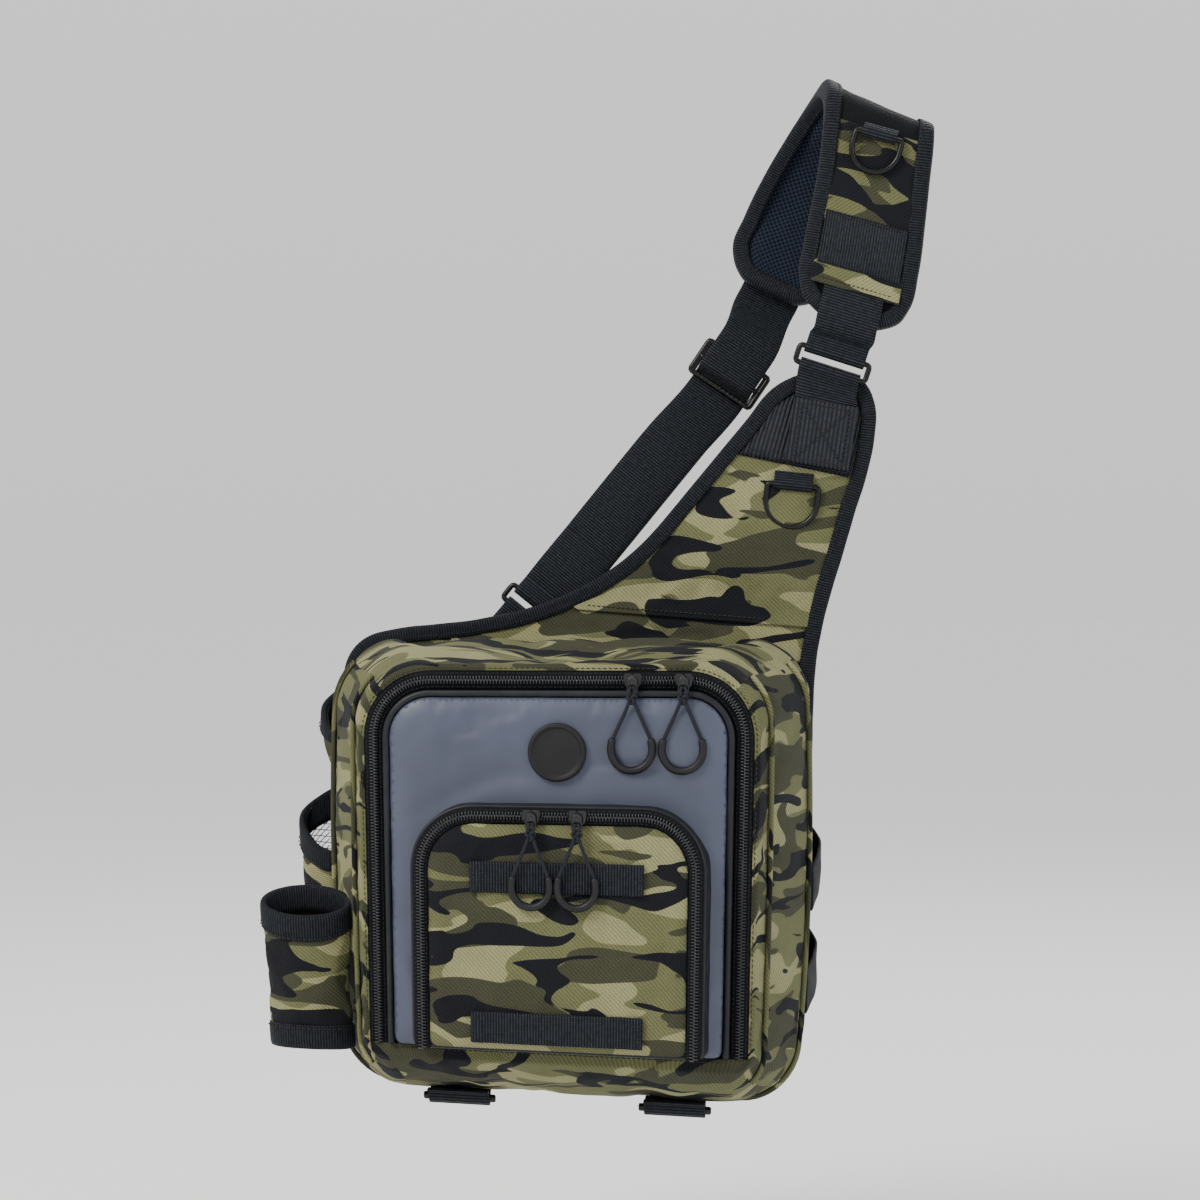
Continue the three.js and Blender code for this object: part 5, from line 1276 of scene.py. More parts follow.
def wing_cloth():
    outline = grown(BACK_EDGE, -BINDING_WALL - SEAM_GAP)

    def depth(points, edge):
        # Padding swells the cloth a little between the binding and the patch; a seam crosses it
        swell = np.clip((edge - 6) / 26, 0, 1) ** 0.8 * 2.6
        swell *= np.clip(-above_patch_foot(points) / 40, 0, 1) ** 0.7
        # The upper cloth is folded over the lower one there: a sharp step with a shadow under it
        over = points[:, 1] - seam_height(points[:, 0])
        fold = np.where(over >= 0, 1.5 * np.exp(-over / 9), -1.0 * np.exp(over / 2.5))
        return PANEL_FRONT_Y - swell - fold * np.clip(edge / 6, 0, 1)

    xs = np.arange(2, 146, 2.6)
    # Rows of points close to the seam, so that its fold comes out sharp
    fold_rows = np.concatenate([
        np.stack([xs, seam_height(xs) + rise], axis=1) for rise in (-2.6, -0.9, -0.25, 0.25, 0.9, 2.6)
    ])
    piece = plate_piece(
        "wing_cloth", outline, 5.2, depth, camo_wing, "camo_cloth", nodes=("back_panel",), also=fold_rows,
    )
    flat = mesh_places(piece)[:, (0, 2)]
    free = np.clip(nearest(flat, grown(BACK_EDGE, -BINDING_WIDTH)[::3]) / 30, 0, 1)
    free[above_patch_foot(flat) > -6] = 0
    free *= np.clip((np.abs(flat[:, 1] - seam_height(flat[:, 0])) - 3) / 12, 0, 1)
    free[nearest(flat, BACK_EDGE[::3]) < BINDING_WIDTH] = 0
    relax(piece, free, 3.0, 0.1 + 2.4 * free, shrink=-0.03, frames=14)
    soften(piece)
    return thicken(piece, 1.0)


def back_padding():
    outline = grown(BACK_EDGE, -BINDING_WALL - SEAM_GAP)

    def depth(points, edge):
        # Three padded channels, with the wing flat above them
        channel = np.abs(np.sin(np.pi * (points[:, 1] - BAG_LOW) / 88)) ** 0.6
        low = np.clip((275 - points[:, 1]) / 20, 0, 1)
        swell = np.clip((edge - 7) / 18, 0, 1) ** 0.7 * (1.2 + 3.4 * channel * low)
        under_tab = np.exp(-(((points[:, 0] + 50) / 42) ** 4 + ((points[:, 1] - 255) / 42) ** 4))
        return PANEL_BACK_Y + swell * (1 - under_tab)

    piece = plate_piece("back_padding", outline, 6.5, depth, back_mesh, "air_mesh", faces_back=True)
    soften(piece)
    thicken(piece, 5.0)
    return piece


def back_binding():
    """Grosgrain folded round the edge of the back panel and sewn through."""
    front, back = PANEL_FRONT_Y - SEAM_GAP - BINDING_WALL, PANEL_BACK_Y + SEAM_GAP + BINDING_WALL
    lap, fold = -BINDING_WIDTH, 2.4
    section = [
        (lap, front + BINDING_WALL), (lap, front + 0.5), (lap + 0.6, front), (lap + 3, front + 0.15),
        (-fold - 2, front - 0.1),
        *[(-fold + fold * math.sin(a), front + fold - fold * math.cos(a)) for a in np.radians((10, 30, 50, 70, 90))],
        *[(-fold + fold * math.sin(a), back - fold - fold * math.cos(a)) for a in np.radians((90, 110, 130, 150, 170))],
        (-fold - 2, back + 0.1), (lap + 3, back - 0.15), (lap + 0.6, back), (lap, back - 0.5),
        (lap, back - BINDING_WALL), (-BINDING_WALL, back - BINDING_WALL), (-BINDING_WALL, front + BINDING_WALL),
    ]
    points = sweep(BACK_EDGE, section, True)
    points = uneven(uneven(points, 0.35, 26, seed=3), 0.3, 34, axis=(0.7, 0, 0.7), seed=4)
    piece = grid_piece(
        "back_binding", points, grosgrain, "black_binding", close_rows=True, close_columns=True,
        nodes=("back_binding",),
    )
    line = grown(BACK_EDGE, lap + 2.4)
    stitch_line(uneven(at_y(line, front - 0.05), 0.35, 26, seed=3), "black", 3.4)
    stitch_line(uneven(at_y(line, back + 0.05), 0.35, 26, seed=3), "black", 3.4)
    return face_outward(piece)


wing_cloth()
back_padding()
back_binding()


# Zips: a woven tape and the two interlocked rows of its coil

def zip_tape_piece(name, arch, tape, back):
    front = back - ZIP_THICKNESS
    half = tape / 2
    section = [
        (half, back), (half, front + 0.4), (half - 0.5, front), (2.9, front - 0.05), (2.5, front - 0.5),
        (-2.5, front - 0.5), (-2.9, front - 0.05), (-half + 0.5, front), (-half, front + 0.4), (-half, back),
    ]
    line = even(arch_line(arch, 24), 2.2)
    points = uneven(sweep(line, section, False), 0.22, 40, seed=int(tape * 7))
    closed_piece(name, points, zip_tape, "zip_tape", nodes=(name,))
    for out in (-half + 1.3, half - 1.3):
        stitch_line(at_y(grown(line, out, False), front - 0.1), "black", 3.0, thick=0.3)


def zip_coil(name, arch, y):
    """Each tooth is a loop of round nylon that lies across the zip, from its row past the middle."""
    line = even(arch_line(arch, 24), COIL_PITCH / 2)
    along = np.gradient(line, axis=0)
    along /= np.linalg.norm(along, axis=1)[:, None]
    count = len(line)
    side = np.where(np.arange(count) % 2 == 0, 1.0, -1.0)[:, None]
    out = np.stack([-along[:, 1], along[:, 0]], axis=1) * side
    stations = ((-0.22, 0.25, 0.30), (-0.1, 0.5, 0.44), (0.45, 0.72, 0.40), (0.92, 0.5, 0.40), (1.0, 0.1, 0.28))
    sides = 6
    turn = 2 * np.pi * np.arange(sides) / sides
    rings = []
    for reach, rise, radius in stations:
        centre = line + out * COIL_HALF * reach
        ring_x = centre[:, None, 0] + radius * np.cos(turn) * along[:, None, 0]
        ring_z = centre[:, None, 1] + radius * np.cos(turn) * along[:, None, 1]
        ring_y = np.broadcast_to(y - rise + radius * np.sin(turn), ring_x.shape)
        rings.append(np.stack([ring_x, ring_y, ring_z], axis=2))
    points = np.stack(rings, axis=1).reshape(-1, 3)
    made, corners = grid_faces(len(stations), sides, False, True)
    made = np.array(made)
    faces = (made[None] + (np.arange(count) * len(stations) * sides)[:, None, None]).reshape(-1, 4)
    uvs = np.tile(corners * 0.3, (count, 1))
    piece = make_piece(name, points, faces.tolist(), uvs, nylon_coil, "zip_tape")
    return face_outward(piece)


zip_tape_piece("main_zip", MAIN_ARCH, MAIN_TAPE, BAG_FRONT_Y + CLOTH_WALL)
zip_coil("main_zip_coil", MAIN_ARCH, BAG_FRONT_Y + CLOTH_WALL - ZIP_THICKNESS - 0.5)
zip_tape_piece("pocket_zip", POCKET_ARCH, POCKET_TAPE, POCKET_TAPE_Y)
zip_coil("pocket_zip_coil", POCKET_ARCH, POCKET_TAPE_Y - ZIP_THICKNESS - 0.5)


# Front panel with its piping and emblem

PANEL_PIPING_INSET = MAIN_TAPE / 2 + SEAM_GAP + PANEL_PIPING_RADIUS
PANEL_INSET = PANEL_PIPING_INSET + PANEL_PIPING_RADIUS + SEAM_GAP
PANEL_RIM_Y = BAG_FRONT_Y - 3.0
EMBLEM_Z = 203.0
piping_line = even(at_y(arch_line(narrowed(MAIN_ARCH, PANEL_PIPING_INSET), 24), PANEL_RIM_Y + 1), 2.2)
closed_piece(
    "panel_piping", tube_points(uneven(piping_line, 0.15, 30), PANEL_PIPING_RADIUS, 12), coated_piping,
    "black_binding", nodes=("panel_piping",),
)


def crowned(rim, crown, inset, edge):
    """y over a padded face: its shoulder rises from the rim in a quarter wave."""
    return rim - crown * np.sin(np.clip(edge / inset, 0, 1) * np.pi / 2) ** 0.85


def front_panel():
    outline = even(arch_loop(narrowed(MAIN_ARCH, PANEL_INSET), 4, 20), 3.2, closed=True)

    def depth(points, edge):
        y = crowned(PANEL_RIM_Y, 3.3, 14, edge)
        # Soft dents of a coated cloth over foam, beside and above the pocket
        for x, z, wide, high, lean, deep in (
            (-62, 176, 34, 7, 0.5, 0.9), (-30, 187, 40, 6, 0.25, 0.7), (72, 184, 30, 7, -0.45, 0.9),
            (38, 196, 44, 6, -0.12, 0.6), (-90, 120, 6, 40, 0.1, 0.5), (98, 128, 6, 46, -0.05, 0.6),
            (-20, 226, 60, 6, 0.06, 0.4), (-88, 208, 10, 22, -0.4, 0.5),
        ):
            dx, dz = points[:, 0] - x, points[:, 1] - z
            along = dx * math.cos(lean) + dz * math.sin(lean)
            across = dz * math.cos(lean) - dx * math.sin(lean)
            y = y + deep * np.exp(-(along / wide) ** 2 - (across / high) ** 2) * np.clip(edge / 12, 0, 1)
        return y

    piece = plate_piece("front_panel", outline, 4.2, depth, coated, "coated_cloth", nodes=("front_panel",))
    flat = mesh_places(piece)
    edge = nearest(flat[:, (0, 2)], hang(at_y(outline, 0))[::2, (0, 2)])
    from_emblem = np.linalg.norm(flat[:, (0, 2)] - (BAG_CENTRE_X, EMBLEM_Z), axis=1)
    free = np.clip(edge / 26, 0, 1) * np.clip((from_emblem - 18) / 14, 0, 1)
    relax(piece, free, 3.0, 0.05 + 1.3 * free, shrink=-0.02, frames=14)
    soften(piece)
    thicken(piece, 3.2)
    return piece


front_panel()


def emblem_disc():
    """A moulded badge: a raised rim, a fine inner step and a bare matt middle."""
    profile = [
        (0.0, 2.3), (9.5, 2.3), (13.2, 2.3), (13.9, 2.45), (14.3, 3.0), (14.8, 3.35), (15.6, 3.4), (16.4, 3.2),
        (16.9, 2.7), (17.0, 2.0), (17.0, 0.0), (0.0, 0.0),
    ]
    turn = np.linspace(0, 2 * np.pi, 96, endpoint=False)
    rings = []
    for radius, height in profile:
        radius = max(radius, 0.01)
        rim = np.stack([BAG_CENTRE_X + radius * np.cos(turn), EMBLEM_Z + radius * np.sin(turn)], axis=1)
        rings.append(at_y(rim, PANEL_FACE_Y - SEAM_GAP - height))
    piece = closed_piece("emblem_disc", np.stack(rings), badge_pvc, "soft_plastic", nodes=("emblem_disc",))
    sharp_by_angle(piece, 50)


emblem_disc()


# Front pocket

def pocket_wall():
    arch = narrowed(POCKET_ARCH, -POCKET_TAPE / 2)
    outline = even(arch_loop({**arch, "low": POCKET_ARCH["low"] + 1.5}, 3, 20), 2.6, closed=True)
    section = [
        (3.4, POCKET_BASE_Y + 0.2), (1.9, POCKET_BASE_Y - 0.6), (1.5, POCKET_BASE_Y - 2.5),
        (1.2, POCKET_BASE_Y - 6), (0.9, POCKET_BASE_Y - 10), (0.3, POCKET_FRONT_Y + 1.6),
        (-0.4, POCKET_FRONT_Y + 0.4), (-CLOTH_WALL, POCKET_FRONT_Y), (-CLOTH_WALL, POCKET_FRONT_Y + 1.2),
        (-CLOTH_WALL + 0.8, POCKET_BASE_Y - 6), (1.5 - CLOTH_WALL, POCKET_BASE_Y),
    ]
    points = uneven(sweep(outline, section, True), 0.3, 34, axis=(0.6, 0, 0.8), seed=9)
    piece = grid_piece(
        "pocket_wall", points, coated_piping, "black_binding", close_rows=True, close_columns=True,
        nodes=("pocket_wall",),
    )
    rim = tube_points(at_y(grown(outline, 0.4), POCKET_FRONT_Y + 0.9), 1.3, 10, closed=True)
    cord = grid_piece("pocket_wall_piping", rim, coated_piping, "black_binding", close_rows=True, close_columns=True)
    face_outward(cord)
    return face_outward(piece)


STRIP_LENGTH, STRIP_HEIGHT = 102.0, 18.0
STRIP_PLACES = {"pocket_webbing_upper": 132.0, "pocket_webbing_lower": 45.5}


def pocket_face():
    arch = narrowed(POCKET_ARCH, POCKET_TAPE / 2 + SEAM_GAP)
    outline = even(arch_loop({**arch, "low": POCKET_ARCH["low"] + 1.5}, 4, 20), 2.8, closed=True)

    def depth(points, edge):
        return crowned(POCKET_RIM_Y, 3.4, 10, edge)

    piece = plate_piece("pocket_face", outline, 3.8, depth, camo_pocket, "camo_cloth", nodes=("pocket_face",))
    flat = mesh_places(piece)
    edge = nearest(flat[:, (0, 2)], hang(at_y(outline, 0))[::2, (0, 2)])
    free = np.clip(edge / 16, 0, 1)
    for z in STRIP_PLACES.values():
        reach = np.maximum(np.abs(flat[:, 2] - z) - STRIP_HEIGHT / 2, 0)
        free = free * np.clip(0.15 + reach / 12, 0, 1)
    relax(piece, free, 3.0, 0.05 + 1.6 * free, shrink=-0.03, frames=14)
    soften(piece)
    return thicken(piece, CLOTH_WALL)


def pocket_strip(name, z):
    """A strip of webbing with its ends folded under and sewn down."""
    back = POCKET_FACE_Y - SEAM_GAP
    middle = back - WEBBING_THICKNESS / 2
    half = STRIP_LENGTH / 2
    centre = POCKET_ARCH["centre"]
    spots = [
        (-half, -0.5), (-half + 7, -0.5), (-half + 9, 0), (-half + 24, -0.5), (0, -0.2),
        (half - 24, -0.5), (half - 9, 0), (half - 7, -0.5), (half, -0.5),
    ]
    rows = [(centre + x, middle + y, z, 0, 0, 1, STRIP_HEIGHT / 2) for x, y in spots]
    points = uneven(strap_points(rows, WEBBING_THICKNESS, step=1.2), 0.12, 22, seed=5)
    closed_piece(name, points, strap_webbing, "webbing", nodes=(name,))
    face = back - WEBBING_THICKNESS - 0.65
    for x in (-half + 2, -half + 6, half - 6, half - 2):
        stitch_line([(centre + x, face, z - 7.5), (centre + x, face, z + 7.5)], pitch=2.2, thick=0.4)


pocket_wall()
pocket_face()
for name, z in STRIP_PLACES.items():
    pocket_strip(name, z)


# Pockets on the left side

POUCH_SEAT = 2.4
UPPER_POUCH = {"back": 45.0, "front": 14.0, "low": 184.0, "rim": (240.0, 208.0), "bulge": 9.0}
MESH_POUCH = {"back": 45.0, "front": 9.5, "low": 52.0, "rim": (176.0, 134.0), "bulge": 22.0}
NET_LOW, NET_HIGH = 0.5, 0.86
NET_BACK, NET_FRONT = 0.12, 0.62
POUCH_COLUMNS, POUCH_ROWS = 25, 40


def pouch_surface(pouch, u, v, extra):
    """u runs from the back edge to the front edge, v from the foot to the rim."""
    u, v = np.asarray(u, float), np.asarray(v, float)
    y = pouch["back"] + (pouch["front"] - pouch["back"]) * u
    rim = pouch["rim"][0] + (pouch["rim"][1] - pouch["rim"][0]) * u
    z = pouch["low"] + (rim - pouch["low"]) * v
    upward = np.sin(np.pi * np.minimum(v * 0.62, 0.5))
    swell = POUCH_SEAT + pouch["bulge"] * upward * np.maximum(np.sin(np.pi * np.clip(u, 0, 1)), 0) ** 0.6
    return np.stack([BAG_CENTRE_X - side_reach(y, z) - swell - extra, y, z], axis=-1)


def pouch_cloth(name, pouch, net=False):
    u, v = np.meshgrid(np.linspace(0, 1, POUCH_COLUMNS + 1), np.linspace(0, 1, POUCH_ROWS + 1))
    points = pouch_surface(pouch, u, v, 0.0)
    piece = grid_piece(name, points, camo_gusset, "camo_cloth", shift=(40, 10), nodes=(name,))
    face_from(piece, (BAG_CENTRE_X, 30, 150))
    free = np.clip(np.minimum(u, 1 - u) / 0.2, 0, 1) * np.clip(v / 0.2, 0, 1)
    relax(piece, free.ravel(), 4.0, 0.1 + 2.0 * free.ravel(), shrink=-0.04, frames=14)
    if net:
        work = bmesh.new()
        work.from_mesh(piece.data)
        work.faces.ensure_lookup_table()
        inside = [
            face for face in work.faces
            if NET_BACK < (face.index % POUCH_COLUMNS + 0.5) / POUCH_COLUMNS < NET_FRONT
            and NET_LOW < (face.index // POUCH_COLUMNS + 0.5) / POUCH_ROWS < NET_HIGH
        ]
        bmesh.ops.delete(work, geom=inside, context="FACES")
        work.to_mesh(piece.data)
        work.free()
    soften(piece)
    return lined_with_painted_shade(piece, 1.4, zip_tape)


def pouch_binding(name, pouch, foot):
    """Tape folded over the rim of a pocket."""
    u = np.linspace(0, 1, 40)
    columns = []
    for v, extra, lift in (
        (foot, 0.9, 0), (foot * 0.5 + 0.5, 1.1, 0), (0.985, 1.0, 0), (1.0, 0.5, 0.9), (1.0, -0.7, 1.4),
        (1.0, -1.9, 0.9), (0.985, -2.4, 0), (foot * 0.5 + 0.5, -2.5, 0), (foot, -2.4, 0),
    ):
        columns.append(pouch_surface(pouch, u, v, extra) + (0, 0, lift))
    points = uneven(np.stack(columns, axis=1), 0.3, 18, axis=(-1, 0, 0), seed=6)
    piece = grid_piece(name, points, grosgrain, "black_binding", nodes=(name,))
    face_from(piece, (BAG_CENTRE_X, 30, 150))
    soften(piece)
    stitch_line(pouch_surface(pouch, u, foot + 0.02, 1.75), pitch=3.2)
    return thicken(piece, 1.0, offset=0.0)


def pouch_net():
    """A soft net of knitted yarn: slanted strands both ways, square cells of 2.4 mm."""
    cell = 2.4
    wide = (NET_FRONT - NET_BACK) * abs(MESH_POUCH["back"] - MESH_POUCH["front"])
    # 102 mm is the height of the pocket where the net is
    high = (NET_HIGH - NET_LOW) * 102.0
    strands = []
    for lean in (1, -1):
        for start in np.arange(-high, wide + high, cell * 1.42):
            run = np.linspace(0, high, 22)
            across = start + lean * run if lean > 0 else start - run + high
            keep = (across >= -0.6) & (across <= wide + 0.6)
            if keep.sum() > 2:
                u = NET_BACK + across[keep] / wide * (NET_FRONT - NET_BACK)
                v = NET_LOW + run[keep] / high * (NET_HIGH - NET_LOW)
                line = pouch_surface(MESH_POUCH, u, v, -0.7 + 0.25 * lean)
                strands.append(tube_points(line, 0.3, 5))
    points, faces = [], []
    for grid in strands:
        first = sum(len(p) for p in points)
        points.append(grid.reshape(-1, 3))
        faces.extend([[first + k for k in face] for face in grid_faces(*grid.shape[:2], False, True)[0]])
    everything = np.vstack(points)
    uvs = everything[[k for face in faces for k in face]][:, (1, 2)]
    return make_piece("mesh_pocket_net", everything, faces, uvs, net_yarn, "air_mesh")


pouch_cloth("upper_side_pocket", UPPER_POUCH)
pouch_binding("upper_side_binding", UPPER_POUCH, 0.8)
pouch_cloth("mesh_pocket", MESH_POUCH, net=True)
pouch_binding("mesh_pocket_binding", MESH_POUCH, 0.86)
pouch_net()


# Tool holder: an upright oval tube, higher at the back

HOLDER_Y = -38.0
HOLDER_LOW, HOLDER_HIGH = 22.0, 108.0
HOLDER_LEAN = 17.0
HOLDER_HALF_DEPTH = 14
HOLDER_COLUMNS = 72
HOLDER_SEAT = BAG_CENTRE_X - float(side_reach(HOLDER_Y, 65.0)) - SEAM_GAP


def holder_ring(z, wall, lean, turn):
    share = (z - HOLDER_LOW) / (HOLDER_HIGH - HOLDER_LOW)
    half = (50 + 4 * share) / 2
    centre = HOLDER_SEAT - 2.8 - half
    deep = np.sin(turn) * (HOLDER_HALF_DEPTH + wall)
    tilted = z + deep / (2 * HOLDER_HALF_DEPTH) * lean
    return np.stack([centre + np.cos(turn) * (half + wall), HOLDER_Y + deep, tilted], axis=-1)


def tool_holder():
    turn = np.linspace(0, 2 * np.pi, HOLDER_COLUMNS, endpoint=False)
    levels = np.linspace(HOLDER_LOW, HOLDER_HIGH, 34)
    lean = HOLDER_LEAN * (levels - HOLDER_LOW) / (HOLDER_HIGH - HOLDER_LOW)
    points = np.stack([holder_ring(z, -0.1, tilt, turn) for z, tilt in zip(levels, lean)])
    piece = grid_piece(
        "tool_holder", points, camo_gusset, "camo_cloth", close_columns=True, shift=(90, 60), nodes=("tool_holder",),
    )
    face_from(piece, (HOLDER_SEAT - 29, HOLDER_Y, 65))
    free = np.clip(np.minimum(levels - HOLDER_LOW - 12, HOLDER_HIGH - 14 - levels) / 14, 0, 1)
    free = np.repeat(free, HOLDER_COLUMNS)
    relax(piece, free, 1.5, 0.05 + 1.8 * free, shrink=-0.03, frames=12)
    soften(piece)
    lined_with_painted_shade(piece, CLOTH_WALL, zip_tape)
    for name, z, tilt in (
        ("tool_holder_base_binding", HOLDER_LOW + 0.5, 0.0), ("tool_holder_top_binding", 95.0, HOLDER_LEAN),
    ):
        high = 13.0
        folded = [
            (0, 0.4), (0.6, 0.9), (high / 2, 1.0), (high - 0.6, 1.0), (high + 0.7, 0.5), (high + 1.1, -0.9),
            (high + 0.6, -2.4), (high / 2, -2.6), (0, -2.4),
        ]
        if tilt == 0:
            folded = [(high - h, wall) for h, wall in folded]
        columns = np.stack([holder_ring(z + h, wall, tilt, turn) for h, wall in folded], axis=1)
        band = grid_piece(
            name, uneven(columns, 0.25, 20, seed=8), grosgrain, "black_binding", close_rows=True, nodes=(name,),
        )
        face_from(band, (HOLDER_SEAT - 29, HOLDER_Y, z + 6))
        soften(band)
        thicken(band, 1.0, offset=0.0)
        edge = 1.8 if tilt else high - 1.8
        stitch_line(holder_ring(z + edge, 1.75, tilt, np.append(turn, 0)), pitch=3.2)


tool_holder()


# Straps on the right side

SIDE_STRAP_HALF = 12.5


def side_strap(name, low):
    near = SIDE_PIPING_Y + 2 * PIPING_RADIUS
    u = np.linspace(0, 1, 22)
    y = near + (BAG_BACK_Y - BINDING_WALL - SEAM_GAP - near) * u
    rows = []
    for share, place in zip(u, y):
        z = low + 30 * share + SIDE_STRAP_HALF
        bow = 0.6 + 5 * math.sin(math.pi * (0.1 + 0.8 * share)) + WEBBING_THICKNESS / 2
        rows.append((BAG_CENTRE_X + float(side_reach(place, z)) + bow, place, z, 0, 0, 1, SIDE_STRAP_HALF))
    points = uneven(strap_points(rows, WEBBING_THICKNESS), 0.4, 24, axis=(1, 0, 0), seed=11)
    closed_piece(name, points, strap_webbing, "webbing", nodes=(name,))


side_strap("side_strap_upper", 108.0)
side_strap("side_strap_lower", 48.0)


# Loops under the bag, each round a bar

KEEPER_Y = -28.0
KEEPER_BAR_RADIUS = 2.4


def keeper(side, x):
    reach = KEEPER_BAR_RADIUS + SEAM_GAP
    radius = reach + WEBBING_THICKNESS / 2
    lows = [BAG_LOW + float(shell_values(KEEPER_Y + d)[1]) * BAG_HEIGHT for d in (-13, 0, 13)]
    station = {"place": (x, KEEPER_Y, min(lows) - SEAM_GAP - WEBBING_THICKNESS - reach - 1.2), "tilt": 0.0}
    top = radius + 1
    rows = [
        *[local_row(station, y, top, WEBBING_HALF) for y in (-radius - 7, -radius - 1.5)],
        *wrap_rows(station, 0, radius, -180, 0, WEBBING_HALF),
        *[local_row(station, y, top, WEBBING_HALF) for y in (radius + 1.5, radius + 7)],
    ]
    name = f"keeper_webbing_{side}"
    closed_piece(name, strap_points(rows, WEBBING_THICKNESS, step=1.2), strap_webbing, "webbing", nodes=(name,))
    ends = np.array([-22.5, -22.2, -21.5, *np.linspace(-20, 20, 17), 21.5, 22.2, 22.5])
    radii = np.full(len(ends), KEEPER_BAR_RADIUS)
    radii[:3] = radii[:-4:-1] = (1.5, 2.1, 2.35)
    bar = placed(np.stack([ends, 0 * ends, 0 * ends], axis=1), station)
    name = f"keeper_bar_{side}"
    closed_piece(name, tube_points(bar, radii, 16), acetal, "plastic", nodes=(name,))


keeper("left", -64.0)
keeper("right", 70.0)


# Wing: patch, webbing tab, ring tape

def clipped(outline, inside):
    """The part of a closed outline where inside(point) is positive."""
    kept = []
    for a, b in zip(outline, np.roll(outline, -1, axis=0)):
        da, db = inside(a), inside(b)
        if da > 0:
            kept.append(a)
        if (da > 0) != (db > 0):
            kept.append(a + (b - a) * da / (da - db))
    return np.array(kept)


def wing_patch():
    outline = even(clipped(grown(BACK_EDGE, -BINDING_WIDTH - SEAM_GAP), above_patch_foot), 3.0, closed=True)
    face = PANEL_FRONT_Y - SEAM_GAP - PATCH_THICKNESS

    def depth(points, edge):
        return face + 0.5 * np.exp(-edge / 1.2) - 0.25 * np.clip(edge / 8, 0, 1)

    piece = plate_piece(
        "wing_patch", outline, 3.0, depth, patch_webbing, "black_binding", nodes=("wing_patch",), lean=16,
    )
    left, right = outline[np.argmin(outline[:, 0])], outline[np.argmax(outline[:, 0])]
    for rise in (2.2, 5.0):
        xs = np.linspace(102, 186, 40)
        line = np.stack([xs, 0 * xs, TAB_STATION["place"][2] - 1 + rise - (xs - 148.8) * math.tan(PATCH_SLOPE)], axis=1)
        line = line[(line[:, 0] > left[0] + 4) & (line[:, 0] < right[0] - 3)]
        line[:, 1] = face - 0.2
        stitch_line(line, hung=False, pitch=3.0)
    return thicken(piece, 0.9)


TAB_BACK_Y = PANEL_FRONT_Y - SEAM_GAP - PATCH_THICKNESS - SEAM_GAP - WEBBING_THICKNESS / 2
TAB_FRONT_Y = TAB_BACK_Y - WEBBING_THICKNESS - SEAM_GAP


def wing_tab():
    x, _, z = TAB_STATION["place"]
    tilt = TAB_STATION["tilt"]
    rise = (RING_STATION["place"][2] - z) / 2
    middle = (x + RING_STATION["place"][0]) / 2
    rows = [
        row((x, TAB_BACK_Y, z), tilt, WEBBING_HALF), row((middle, TAB_BACK_Y, z + rise), tilt, WEBBING_HALF),
        *wrap_rows(RING_STATION, -RING_SPACING / 2, WRAP_RADIUS, -40, 220, WEBBING_HALF),
        row((middle, TAB_FRONT_Y, z + rise), tilt, WEBBING_HALF),
        row((x + 0.3, TAB_FRONT_Y, z + 2), tilt, WEBBING_HALF),
    ]
    strap_piece("wing_tab", rows)
    # The patch's ribbed webbing lies over the tab's low part, sewn with a box and a cross
    along = np.array((middle - x, 0, rise))
    across = np.array(across_at(tilt))
    cover_y = TAB_FRONT_Y - WEBBING_THICKNESS / 2 - 0.55
    cover_rows = [
        row(np.array((x, cover_y, z + 1.5)) + along * share, tilt, WEBBING_HALF + 0.8) for share in (0, 0.4, 0.8, 1.22)
    ]
    closed_piece(
        "tab_cover", strap_points(cover_rows, 0.9, step=2.0), patch_webbing, "black_binding", hung=False, turn=True,
    )
    y = cover_y - 0.55

    def spot(a, b):
        return np.array((x, y, z + 2)) + across * a + along * b

    corners = [spot(-15, 0.08), spot(15, 0.08), spot(15, 1.12), spot(-15, 1.12), spot(-15, 0.08)]
    for a, b in [*zip(corners, corners[1:]), (corners[0], corners[2]), (corners[1], corners[3])]:
        for shift in (0, 1.1):
            stitch_line([a + across * shift, b + across * shift], hung=False, pitch=2.6, thick=0.42)


def ring_tape(name, station, wide, long):
    strap_piece(name, [
        local_row(station, TAPE_RADIUS, long, wide / 2),
        *wrap_rows(station, 0, TAPE_RADIUS, 0, -200, wide / 2),
        local_row(station, TAPE_RADIUS - TAPE_THICKNESS - SEAM_GAP, long, wide / 2),
    ], TAPE_THICKNESS, 1.0)


wing_patch()
wing_tab()
ring_tape("wing_ring_tape", WING_D, 24.0, 8.0)
ring_tape("pad_ring_tape", PAD_D, 21.5, 5.5)


# Front strap and pad

PAD_LEG = PAD_ROWS[(PAD_ROWS[:, 4] > 0.5) & (PAD_ROWS[:, 1] < 47)]


def leg_row(z, offset, half):
    """A row in front of the pad's front leg at a height."""
    x, y, tilt = (float(np.interp(z, PAD_LEG[:, 2], PAD_LEG[:, k])) for k in (0, 1, 3))
    return row((x, y - offset, z), tilt, half)


